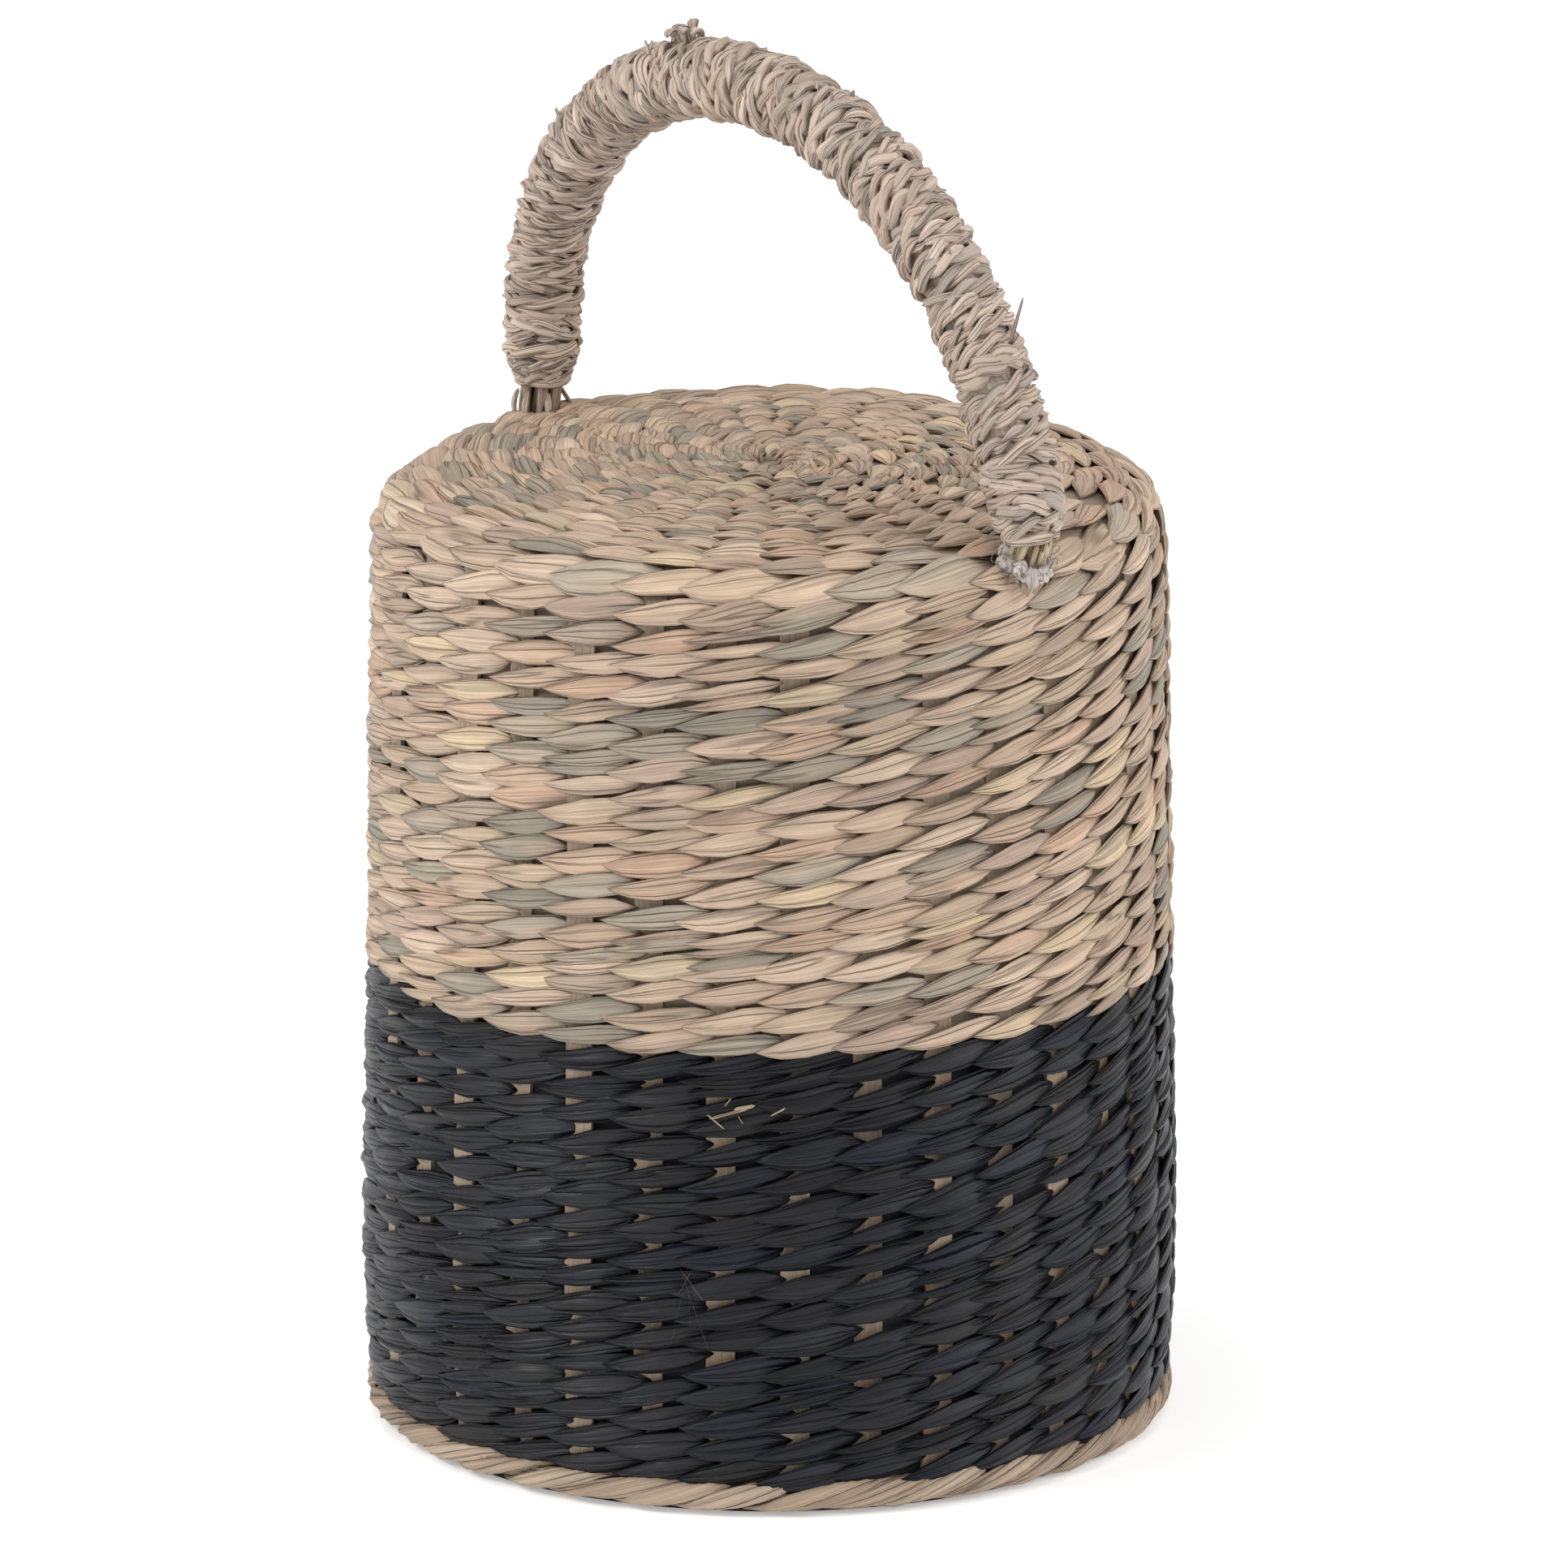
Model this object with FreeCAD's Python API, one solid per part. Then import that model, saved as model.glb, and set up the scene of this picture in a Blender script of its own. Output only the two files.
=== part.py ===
"""Woven seagrass doorstop: a closed, weighted basket with one wrapped handle.

Millimetres, +Z up. The origin is the centre of the underside, and the handle spans along X.
The weave is one shell that runs from the middle of the top, round a rounded shoulder, down a
slightly flared wall and in again at the rim. Everything woven is placed along that shell's
middle surface, by the distance from the centre of the top and the offset outwards from it.
"""

import FreeCAD
import Part
import math
import os

from FreeCAD import Vector

# ---- the woven shell -------------------------------------------------------------------------
body_height = 219.0  # underside to the middle of the top
shoulder_radius = 88.8  # outside of the weave where the wall begins, under the shoulder
weave_thickness = 4.8
row_pitch = 5.65  # one row of natural weft
dark_row_pitch = 6.1
row_scallop = 0.8  # how far the weave draws in between two rows
top_flat_radius = 20.0  # the middle of the top is flat, and the rest is slightly domed
dome_radius = 500.0
shoulder_bend = 11.0  # on the middle surface
wall_flare_deg = 1.05  # the wall leans out towards the rim
belly_height = 45.0  # where the wall starts to curve in again
belly_bend = 270.0
top_hole_radius = 4.0  # the little hole at the start of the weave
shoulder_rows_on_bend = 1  # natural rows that climb onto the bend below the wale
wale_width = 8.0  # the thick row that turns the shoulder
natural_rows = 18  # on the wall, under the wale; the rest are dark

# ---- the stakes: flat slats that the weft is woven round -------------------------------------
stake_width = 6.5
stake_thickness = 1.0
stake_layer = 0.7  # the two crossing sets of long stakes lie this far below and above the middle
slats_per_set = 4  # each gives a stake at both ends, in two crossing sets
slat_pitch = 3.4  # between the parallel slats in the middle of the top
slat_width = 3.0
slat_half_run = 8.0  # half the length over which they lie parallel
fan_radius = 20.0  # where the slats have fanned out to radial
full_width_radius = 26.0
insert_radius = 30.0  # where the short stakes start
insert_tip_width = 3.0
insert_full_radius = 46.0

# ---- rim and underside -----------------------------------------------------------------------
rim_section = 3.4  # radius of the twisted border
cloth_thickness = 1.0
cloth_under_rim = 2.4  # how far the underside's cloth reaches under the border
board_thickness = 2.0
thread_radius = 0.45
thread_length = 3.2
thread_sunk = 0.25  # where a stitch starts, up from the underside
inside_gap = 0.6  # between the weave and what is packed inside

# ---- handle ----------------------------------------------------------------------------------
left_foot_inset = 8.3  # from the outside of the shoulder to where the neck passes the weave
right_foot_inset = 4.2  # further out, on the round of the shoulder
left_wrap_end = (1.5, 9.8)  # inwards and up, from there to the end of the wrapping
right_wrap_end = (-3.9, 9.1)
left_run = 15.5  # the left leg is straight for this long, and the rest is three arcs
left_heading_deg = 90.0
crest_heading_deg = 7.0
slope_heading_deg = -47.0
right_bend = 115.0
right_heading_deg = -79.0
core_radius = 4.6
wrap_radius = 8.6
wrap_foot_radius = 5.6
wrap_taper = 12.0
fit_gap = 0.1
press_gap = 0.3  # between the wrapping and what is pressed in under it
neck_radius = 3.6  # squeezed between two stakes
hinge_share = 0.54  # of the way from the middle surface to the wrapping, where a neck flexes

# ---- small pieces on the handle and its feet -------------------------------------------------
knot_radius = 6.5
knot_drop = 9.5  # middle of a knot from the shell's middle surface
lashing_section = 0.9
padding_section = 1.2
ring_ease = 0.4  # between a neck and the soft ring round it
tuck_length = 8.0
tuck_width = 6.0
tuck_height = 3.6
tuck_sunk = 0.25  # of its height, so that it follows the round of the wrapping
leaf_end_length = 9.0
leaf_end_width = 1.8
leaf_end_thickness = 0.6
leaf_end_height = 45.0  # above the end of the wrapping

# ---- filling ---------------------------------------------------------------------------------
lining_thickness = 0.8
sandbag_height = 42.0
sandbag_cloth = 0.8
filling_gap = 0.4
sandbag_bend = 12.0  # round its upper edge

Z = Vector(0, 0, 1)
ORIGIN = Vector(0, 0, 0)
half_weave = weave_thickness / 2
primary_stakes = 4 * slats_per_set + 1  # the ends of both sets and one odd stake, as twining needs
stake_count = 2 * primary_stakes  # with a short stake between each two
stake_pitch_deg = 360.0 / stake_count


class Shell:
    """The middle surface of the weave, as the profile that is turned round Z."""

    def __init__(self):
        self.mid_top = body_height - half_weave
        self.wall_angle = math.radians(wall_flare_deg)
        bend_centre = shoulder_radius - half_weave - shoulder_bend * math.cos(self.wall_angle)
        run = bend_centre - top_flat_radius
        self.dome_angle = math.asin(run / (dome_radius - shoulder_bend))
        self.flat_end = top_flat_radius
        self.dome_end = self.flat_end + dome_radius * self.dome_angle
        quarter = math.pi / 2
        dome_centre = (top_flat_radius, self.mid_top - dome_radius)
        rise = (dome_radius - shoulder_bend) * math.cos(self.dome_angle)
        self.dome = (dome_centre, dome_radius, quarter)
        self.bend = ((bend_centre, dome_centre[1] + rise), shoulder_bend, quarter - self.dome_angle)
        self.bend_end = self.dome_end + shoulder_bend * (quarter - self.dome_angle - self.wall_angle)
        foot = self.bend[0][1] + shoulder_bend * math.sin(self.wall_angle)
        wall_length = (foot - belly_height) / math.cos(self.wall_angle)
        self.wall_end = self.bend_end + wall_length
        wall_foot = self._on_arc(self.bend, self.bend_end - self.dome_end, 0.0)
        self.wall_start = wall_foot
        low = (
            wall_foot[0] + wall_length * math.sin(self.wall_angle),
            wall_foot[1] - wall_length * math.cos(self.wall_angle),
        )
        belly_centre = (
            low[0] - belly_bend * math.cos(self.wall_angle),
            low[1] - belly_bend * math.sin(self.wall_angle),
        )
        self.belly = (belly_centre, belly_bend, self.wall_angle)

    @staticmethod
    def _on_arc(arc, along, offset):
        (cx, cz), radius, start = arc
        angle = start - along / radius
        return cx + (radius + offset) * math.cos(angle), cz + (radius + offset) * math.sin(angle)

    def point(self, s, offset=0.0):
        """The point that lies s along the middle surface and offset outwards from it, at Y = 0."""
        if s <= self.flat_end:
            r, z = s, self.mid_top + offset
        elif s <= self.dome_end:
            r, z = self._on_arc(self.dome, s - self.flat_end, offset)
        elif s <= self.bend_end:
            r, z = self._on_arc(self.bend, s - self.dome_end, offset)
        elif s <= self.wall_end:
            run = s - self.bend_end
            r = self.wall_start[0] + run * math.sin(self.wall_angle) + offset * math.cos(self.wall_angle)
            z = self.wall_start[1] - run * math.cos(self.wall_angle) + offset * math.sin(self.wall_angle)
        else:
            r, z = self._on_arc(self.belly, s - self.wall_end, offset)
        return Vector(r, 0, z)

    def along_at_height(self, z):
        """How far along the middle surface the wall reaches this height."""
        low, high = self.bend_end, self.wall_end + belly_bend / 2
        for _ in range(60):
            middle = (low + high) / 2
            if self.point(middle).z > z:
                low = middle
            else:
                high = middle
        return low

    def along_at_radius(self, radius):
        """How far along the top and the bend lie at this radius."""
        low, high = 0.0, self.bend_end
        for _ in range(60):
            middle = (low + high) / 2
            if self.point(middle).x < radius:
                low = middle
            else:
                high = middle
        return low

    def edges(self, start, end, offset):
        """The profile's own lines and arcs from start to end along it, offset outwards."""
        stops = [self.flat_end, self.dome_end, self.bend_end, self.wall_end]
        marks = [start] + [stop for stop in stops if start < stop < end] + [end]
        made = []
        for a, b in zip(marks, marks[1:]):
            p, q = self.point(a, offset), self.point(b, offset)
            middle = self.point((a + b) / 2, offset)
            straight = b <= self.flat_end or (a >= self.bend_end and b <= self.wall_end)
            made.append(Part.LineSegment(p, q) if straight else Part.Arc(p, middle, q))
        return [edge.toShape() for edge in made]


shell = Shell()
rim_mid = cloth_thickness + rim_section
rim_radius = shell.point(shell.along_at_height(rim_mid)).x
rim_top = shell.along_at_height(rim_mid + rim_section - row_scallop)
stake_end = shell.along_at_height(rim_mid)
wale_bottom = shell.bend_end - shoulder_rows_on_bend * row_pitch
wale_top = wale_bottom - wale_width
colour_change = wale_bottom + natural_rows * row_pitch


class Foot:
    """One end of the handle: where its neck passes the weave, and where the wrapping starts."""

    def __init__(self, side, radius, offset):
        self.along = shell.along_at_radius(radius)
        middle = shell.point(self.along)
        outer = shell.point(self.along, 1.0)
        self.base = Vector(side * middle.x, 0, middle.z)
        self.normal = Vector(side * outer.x, 0, outer.z) - self.base
        self.end = self.base + Vector(-side * offset[0], 0, offset[1])
        self.axis = (self.end - self.base).normalize()
        self.reach = (self.end - self.base).Length
        self.knot = self.base - self.axis * knot_drop
        self.hinge = self.base + self.axis * (hinge_share * self.reach)

    def rod(self, radius, start, end):
        """A cylinder along the neck, by distances from the weave's middle surface."""
        return Part.makeCylinder(radius, end - start, self.base + self.axis * start, self.axis)


left_foot = Foot(-1, shoulder_radius - left_foot_inset, left_wrap_end)
right_foot = Foot(1, shoulder_radius - right_foot_inset, right_wrap_end)
feet = (left_foot, right_foot)


def face_of(edges):
    return Part.Face(Part.Wire(Part.__sortEdges__(edges)))


def turned(face):
    return face.revolve(ORIGIN, Z, 360)


def line(a, b):
    return Part.LineSegment(a, b).toShape()


def rotated(shape, degrees):
    copy = shape.copy()
    copy.rotate(ORIGIN, Z, degrees)
    return copy


def upright(radius, bottom, top, x=0.0, y=0.0):
    return Part.makeCylinder(radius, top - bottom, Vector(x, y, bottom), Z)


def plate(points, bottom, thickness):
    corners = [Vector(x, y, bottom) for x, y in points]
    return Part.Face(Part.makePolygon(corners + corners[:1])).extrude(Vector(0, 0, thickness))


def woven(start, end, rows):
    """A band of weave with a rounded ridge for each row on both of its sides."""
    step = (end - start) / rows
    notch = half_weave - row_scallop
    edges = []
    for side in (1, -1):
        for row in range(rows):
            a, b = start + row * step, start + (row + 1) * step
            ridge = [shell.point(a, side * notch), shell.point((a + b) / 2, side * half_weave)]
            edges.append(Part.Arc(*ridge, shell.point(b, side * notch)).toShape())
    for s in (start, end):
        edges.append(line(shell.point(s, notch), shell.point(s, -notch)))
    return turned(face_of(edges))


def stake_run(start, end, level, tip_radius, tip_width, full_radius):
    """One stake from start to end along the shell, in the plane Y = 0, with its tip narrowed."""
    low, high = level - stake_thickness / 2, level + stake_thickness / 2
    edges = shell.edges(start, end, low) + shell.edges(start, end, high)
    for s in (start, end):
        edges.append(line(shell.point(s, low), shell.point(s, high)))
    band = face_of(edges).extrude(Vector(0, stake_width, 0))
    band.translate(Vector(0, -stake_width / 2, 0))
    far = shoulder_radius * 2
    half_tip, half_full = tip_width / 2, stake_width / 2
    outline = [
        (tip_radius, -half_tip),
        (full_radius, -half_full),
        (far, -half_full),
        (far, half_full),
        (full_radius, half_full),
        (tip_radius, half_tip),
    ]
    return band.common(plate(outline, 0, body_height * 2))


def slat_arm(corner, degrees, level):
    """The stretch of a slat that bends from the parallel middle run out to a radial stake."""
    angle = math.radians(degrees)
    out = Vector(math.cos(angle), math.sin(angle), 0)
    side = Vector(-out.y, out.x, 0) * (slat_width / 2)
    across = Vector(-corner[1], corner[0], 0).normalize()
    begin = Vector(*corner, 0)
    square = Vector(1, 0, 0) if abs(corner[1]) >= slat_half_run else Vector(0, 1, 0)
    if square.dot(across) < 0:
        square = square * -1
    half = square * (slat_width / 2)
    end = out * (fan_radius + 0.5)
    points = [begin - half, end - side, end + side, begin + half]
    return plate([(p.x, p.y) for p in points], shell.mid_top + level - stake_thickness / 2, stake_thickness)


def long_stakes(quarter, level):
    """One set of parallel slats, each a single strip from the rim over the top to the rim."""
    made = []
    step = 2 * stake_pitch_deg
    for k in range(slats_per_set):
        across = (k - (slats_per_set - 1) / 2) * slat_pitch
        length, width = 2 * slat_half_run, slat_width
        if quarter == 0:
            corners = [(slat_half_run, across), (-slat_half_run, across)]
            middle = Part.makeBox(length, width, stake_thickness)
            middle.translate(Vector(-slat_half_run, across - width / 2, 0))
            arms = [k, 2 * slats_per_set + slats_per_set - 1 - k]
        else:
            corners = [(across, slat_half_run), (across, -slat_half_run)]
            middle = Part.makeBox(width, length, stake_thickness)
            middle.translate(Vector(across - width / 2, -slat_half_run, 0))
            arms = [2 * slats_per_set - 1 - k, 3 * slats_per_set + k]
        middle.translate(Vector(0, 0, shell.mid_top + level - stake_thickness / 2))
        slat = middle
        for corner, arm in zip(corners, arms):
            degrees = (arm - (slats_per_set - 1) / 2) * step
            slat = slat.fuse(slat_arm(corner, degrees, level))
            run = stake_run(fan_radius, stake_end, level, fan_radius, slat_width, full_width_radius)
            slat = slat.fuse(rotated(run, degrees))
        made.append(slat)
    return made


def inserted_stakes():
    """The short stakes, which start part of the way out, and the odd one that closes the fan."""
    made = []
    odd = stake_run(fan_radius, stake_end, 0, fan_radius, slat_width, full_width_radius)
    made.append(rotated(odd, (primary_stakes - 1 - (slats_per_set - 1) / 2) * 2 * stake_pitch_deg))
    start = shell.along_at_radius(insert_radius)
    short = stake_run(start, stake_end, 0, insert_radius, insert_tip_width, insert_full_radius)
    for k in range(primary_stakes):
        made.append(rotated(short, (2 * k + 1 - (slats_per_set - 1)) * stake_pitch_deg))
    return made


def turn(radius, start, end):
    """The step along an arc of this radius while the heading changes from start to end."""
    return Vector(radius * (math.sin(start) - math.sin(end)), 0, radius * (math.cos(end) - math.cos(start)))


def handle_path():
    """The core's middle line from the left foot to the right one: a straight run and three arcs."""
    degrees = (left_heading_deg, crest_heading_deg, slope_heading_deg, right_heading_deg)
    left, crest, slope, right = [math.radians(d) for d in degrees]
    run = Vector(math.cos(left), 0, math.sin(left)) * left_run
    rest = right_foot.end - left_foot.end - run - turn(right_bend, slope, right)
    # The first two arcs take the radii that bring the path to the right foot.
    a, b = turn(1, left, crest), turn(1, crest, slope)
    scale = a.x * b.z - a.z * b.x
    left_bend = (rest.x * b.z - rest.z * b.x) / scale
    crest_bend = (a.x * rest.z - a.z * rest.x) / scale
    at = left_foot.end + run
    edges = [Part.LineSegment(left_foot.end, at)]
    bends = ((left_bend, left, crest), (crest_bend, crest, slope), (right_bend, slope, right))
    for radius, begin, end in bends:
        half = at + turn(radius, begin, (begin + end) / 2)
        edges.append(Part.Arc(at, half, at + turn(radius, begin, end)))
        at = at + turn(radius, begin, end)
    print(f"handle arcs {left_bend:.1f}, {crest_bend:.1f} and {right_bend:.1f}")
    return edges


def tube(edges, radius):
    """A round tube along a path whose runs and arcs are tangent."""
    path = Part.Wire([edge.toShape() for edge in edges])
    start = edges[0].StartPoint
    heading = edges[0].tangent(edges[0].FirstParameter)[0]
    ring = Part.Wire(Part.Circle(start, heading, radius).toShape())
    return path.makePipeShell([ring], True, False)


def leg_ends(edges):
    """The two ends of the path, each with its heading into the handle."""
    first, last = edges[0], edges[-1]
    into_left = first.tangent(first.FirstParameter)[0]
    into_right = last.tangent(last.LastParameter)[0] * -1
    return (left_foot.end, into_left), (right_foot.end, into_right)


def wrapped(edges):
    """The binding round the core: a thick tube whose two ends taper to the necks."""
    body = tube(edges, wrap_radius)
    for foot, heading in leg_ends(edges):
        sleeve = Part.makeCylinder(wrap_radius * 2, wrap_taper, foot, heading)
        sleeve = sleeve.cut(Part.makeCone(wrap_foot_radius, wrap_radius, wrap_taper, foot, heading))
        body = body.cut(sleeve)
    return body.cut(tube(edges, core_radius + fit_gap))


def clear_radius(inset, bottom):
    """Radius of an upright drum that stands clear of the weave by inset, from bottom upwards."""
    clear = -half_weave - inset
    foot = shell.along_at_height(bottom)
    return min(shell.point(foot, clear).x, shell.point(shell.bend_end, clear).x)


def inner_drum(inset, bottom):
    """A drum from bottom up to the underside of the top, clear of the weave by inset."""
    clear = -half_weave - inset
    middle, corner = Vector(0, 0, bottom), Vector(clear_radius(inset, bottom), 0, bottom)
    edges = shell.edges(0, shell.bend_end, clear)
    edges.append(line(middle, corner))
    edges.append(line(corner, shell.point(shell.bend_end, clear)))
    edges.append(line(middle, shell.point(0, clear)))
    return turned(face_of(edges))


def cushion(inset, bottom, top, bend):
    """A low drum with a rounded upper edge, clear of the weave by inset."""
    drum = upright(clear_radius(inset, bottom), bottom, top)
    upper = [edge for edge in drum.Edges if edge.BoundBox.ZMin > (bottom + top) / 2]
    return drum.makeFillet(bend, upper)


def neck(foot, wrap_start):
    """The bare end of the core, from the knot under the top up to the end of the wrapping."""
    inner = foot.rod(neck_radius, knot_radius - knot_drop - 1.0, half_weave)
    cone_length = foot.reach - half_weave + core_radius
    start = foot.base + foot.axis * half_weave
    flare = Part.makeCone(neck_radius, core_radius, cone_length, start, foot.axis)
    above = Part.makeCylinder(wrap_radius * 2, wrap_taper, *wrap_start)
    return inner.fuse(flare).cut(above)


def knot(foot, inside):
    return Part.makeSphere(knot_radius, foot.knot).common(inside)


def pockets(clearance):
    """Room in the filling for the two knots and for the rope ends above them."""
    rooms = []
    for foot in feet:
        rooms.append(Part.makeSphere(knot_radius + clearance, foot.knot))
        rooms.append(foot.rod(neck_radius + clearance, -knot_drop, half_weave))
    return rooms


def ring_round_neck(foot, section, wrap_start):
    """A soft ring that lies on the weave round a neck, pressed in under the end of the wrapping."""
    lean = foot.axis.getAngle(foot.normal)
    along = (half_weave + section + fit_gap) / math.cos(lean)
    ring = neck_radius + ring_ease + section
    soft = Part.makeTorus(ring, section, foot.base + foot.axis * along, foot.normal)
    end, heading = wrap_start
    above = Part.makeCylinder(wrap_radius * 2, wrap_taper, end - heading * press_gap, heading)
    return soft.cut(above)


def tuck(edges):
    """The folded leaf end that is tucked in on the crest of the handle."""
    crest = edges[1]
    parameter = crest.LastParameter
    at = crest.value(parameter)
    heading = crest.tangent(parameter)[0]
    climb = math.degrees(math.atan2(heading.z, heading.x))
    block = Part.makeBox(tuck_length, tuck_width, tuck_height)
    block.translate(Vector(-tuck_length / 2, -tuck_width / 2, wrap_radius - tuck_sunk * tuck_height))
    block.rotate(ORIGIN, Vector(0, 1, 0), -climb)
    block.translate(at)
    return block.cut(tube(edges, wrap_radius + fit_gap))


def leaf_end(edges):
    """A stray leaf end that stands off the right leg of the handle."""
    leg = edges[-1]
    share = leaf_end_height / leg.length()
    parameter = leg.LastParameter + (leg.FirstParameter - leg.LastParameter) * share
    strip = Part.makeBox(leaf_end_thickness, leaf_end_width, leaf_end_length)
    strip.translate(leg.value(parameter) + Vector(wrap_radius, -leaf_end_width / 2, 0))
    return strip.cut(tube(edges, wrap_radius + fit_gap))


def clear_of_stakes(shape):
    """The shape without the room that the three sets of stakes take in it."""
    for stakes in (lower_set, upper_set, short_set):
        shape = shape.cut(Part.makeCompound(stakes))
    return shape


def write(name, shapes):
    """One STEP per node. A node may be a group of separate solids."""
    solids = [solid for shape in shapes for solid in shape.Solids]
    shape = solids[0] if len(solids) == 1 else Part.makeCompound(solids)
    shape.exportStep(f"parts/{name}.step")
    print(f"{name:24s} solids {len(solids):3d}  volume {shape.Volume / 1000:9.2f} cm3")


os.makedirs("parts", exist_ok=True)

turn_to_clear_feet = stake_pitch_deg / 2
neck_holes = Part.makeCompound(
    [foot.rod(neck_radius + fit_gap, -2 * half_weave, 2 * half_weave + neck_radius) for foot in feet]
)
lower_set = [rotated(s, turn_to_clear_feet).cut(neck_holes) for s in long_stakes(0, -stake_layer)]
upper_set = [rotated(s, turn_to_clear_feet).cut(neck_holes) for s in long_stakes(1, stake_layer)]
short_set = [rotated(s, turn_to_clear_feet).cut(neck_holes) for s in inserted_stakes()]

path = handle_path()
wrap = wrapped(path)
core = tube(path, core_radius)
starts = leg_ends(path)
necks = [neck(foot, start) for foot, start in zip(feet, starts)]
room_for_knots = inner_drum(fit_gap, cloth_thickness + board_thickness)
knots = [knot(foot, room_for_knots).cut(own) for foot, own in zip(feet, necks)]

lashing = ring_round_neck(left_foot, lashing_section, starts[0])
padding = ring_round_neck(right_foot, padding_section, starts[1])

board_bottom = cloth_thickness
board_top = board_bottom + board_thickness
rim_inner = rim_radius - rim_section
cloth = upright(rim_inner + cloth_under_rim, 0, cloth_thickness)
board = upright(rim_inner - inside_gap, board_bottom, board_top)
thread_ring = rim_inner + cloth_under_rim / 2 + thread_radius
threads = []
for k in range(stake_count):
    angle = math.radians(k * stake_pitch_deg)
    x, y = thread_ring * math.cos(angle), thread_ring * math.sin(angle)
    threads.append(upright(thread_radius, thread_sunk, thread_sunk + thread_length, x, y))
all_threads = Part.makeCompound(threads)

top_rows = round((wale_top - top_hole_radius) / row_pitch)
dark_rows = round((rim_top - colour_change) / dark_row_pitch)
top_band = clear_of_stakes(woven(top_hole_radius, wale_top, top_rows)).cut(neck_holes)
wale = clear_of_stakes(woven(wale_top, wale_bottom, 1)).cut(neck_holes)
natural_band = clear_of_stakes(woven(wale_bottom, colour_change, natural_rows)).cut(neck_holes)
dark_band = clear_of_stakes(woven(colour_change, rim_top, dark_rows))
rim = Part.makeTorus(rim_radius, rim_section, Vector(0, 0, rim_mid), Z)
rim = clear_of_stakes(rim.cut(dark_band)).cut(all_threads)

lining = inner_drum(inside_gap, board_top)
cavity = inner_drum(inside_gap + lining_thickness, board_top + lining_thickness)
for room in pockets(fit_gap):
    lining = lining.cut(room)
for room in pockets(fit_gap + lining_thickness):
    cavity = cavity.cut(room)
lining = lining.cut(cavity)

sandbag_bottom = board_top + lining_thickness
sandbag_top = sandbag_bottom + sandbag_height
sandbag_inset = inside_gap + lining_thickness + filling_gap
drum = cushion(sandbag_inset, sandbag_bottom, sandbag_top, sandbag_bend)
sand_inset = sandbag_inset + sandbag_cloth
sand_bend = sandbag_bend - sandbag_cloth
sand = cushion(sand_inset, sandbag_bottom + sandbag_cloth, sandbag_top - sandbag_cloth, sand_bend)
sandbag = drum.cut(sand)
reach = 2 * shoulder_radius
above = Part.makeBox(2 * reach, 2 * reach, body_height, Vector(-reach, -reach, sandbag_top + filling_gap))
wadding = cavity.common(above)

write("long_stakes_lower", lower_set)
write("long_stakes_upper", upper_set)
write("inserted_stakes", short_set)
write("top_weft", [top_band])
write("shoulder_wale", [wale])
write("natural_wall_weft", [natural_band])
write("dark_wall_weft", [dark_band])
write("rim_border", [rim])
write("underside_cloth", [cloth.cut(all_threads)])
write("underside_board", [board])
write("underside_stitches", threads)
write("lining_bag", [lining])
write("wadding", [wadding])
write("sand_bag", [sandbag])
write("sand_fill", [sand])
write("handle_core", [core])
write("handle_wrap", [wrap])
write("left_neck", [necks[0]])
write("right_neck", [necks[1]])
write("left_knot", [knots[0]])
write("right_knot", [knots[1]])
write("left_lashing", [lashing.cut(necks[0])])
write("right_padding", [padding.cut(necks[1])])
write("handle_tuck", [tuck(path)])
write("loose_leaf_end", [leaf_end(path)])
for label, foot in (("left", left_foot), ("right", right_foot)):
    print(f"{label} hinge point {foot.hinge.x:.3f} {foot.hinge.z:.3f}, end {foot.end.x:.2f} {foot.end.z:.2f}")
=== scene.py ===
import bmesh
import bpy
import math
import random
from bpy.props import FloatProperty, FloatVectorProperty, IntProperty, PointerProperty
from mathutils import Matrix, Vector, noise
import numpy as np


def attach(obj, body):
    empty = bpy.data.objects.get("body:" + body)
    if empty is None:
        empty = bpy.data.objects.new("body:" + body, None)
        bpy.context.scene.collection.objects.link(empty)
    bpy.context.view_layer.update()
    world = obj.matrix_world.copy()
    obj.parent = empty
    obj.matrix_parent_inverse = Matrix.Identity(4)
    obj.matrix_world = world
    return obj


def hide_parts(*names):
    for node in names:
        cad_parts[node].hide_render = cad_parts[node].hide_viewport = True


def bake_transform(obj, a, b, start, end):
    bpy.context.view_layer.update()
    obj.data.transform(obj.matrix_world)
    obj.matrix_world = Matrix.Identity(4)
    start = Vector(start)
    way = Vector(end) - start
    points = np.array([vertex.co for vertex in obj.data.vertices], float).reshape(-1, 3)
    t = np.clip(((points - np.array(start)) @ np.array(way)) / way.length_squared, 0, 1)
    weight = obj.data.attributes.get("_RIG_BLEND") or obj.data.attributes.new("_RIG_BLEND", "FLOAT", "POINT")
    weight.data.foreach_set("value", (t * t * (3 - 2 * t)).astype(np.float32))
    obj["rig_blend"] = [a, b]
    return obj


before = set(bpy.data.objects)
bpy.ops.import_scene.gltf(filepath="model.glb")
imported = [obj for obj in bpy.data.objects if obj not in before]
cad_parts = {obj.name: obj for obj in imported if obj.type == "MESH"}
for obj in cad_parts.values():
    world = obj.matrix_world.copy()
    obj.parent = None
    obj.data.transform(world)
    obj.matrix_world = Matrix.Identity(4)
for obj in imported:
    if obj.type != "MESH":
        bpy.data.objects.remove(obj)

bl_info = {
    "name": "Woven basket doorstop",
    "version": (1, 0, 0),
    "blender": (4, 5, 0),
    "location": "View3D > Sidebar > Doorstop",
    "description": "Builds the weave, the wrapped handle and the stage round the packed frame",
    "category": "Object",
}

MM = 0.001
TAU = 2 * math.pi
Z = Vector((0, 0, 1))
Y = Vector((0, 1, 0))


# ---- settings --------------------------------------------------------------------------------


def mm(name, value, text):
    return FloatProperty(name=name, default=value, description=text + ", in millimetres")


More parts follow.
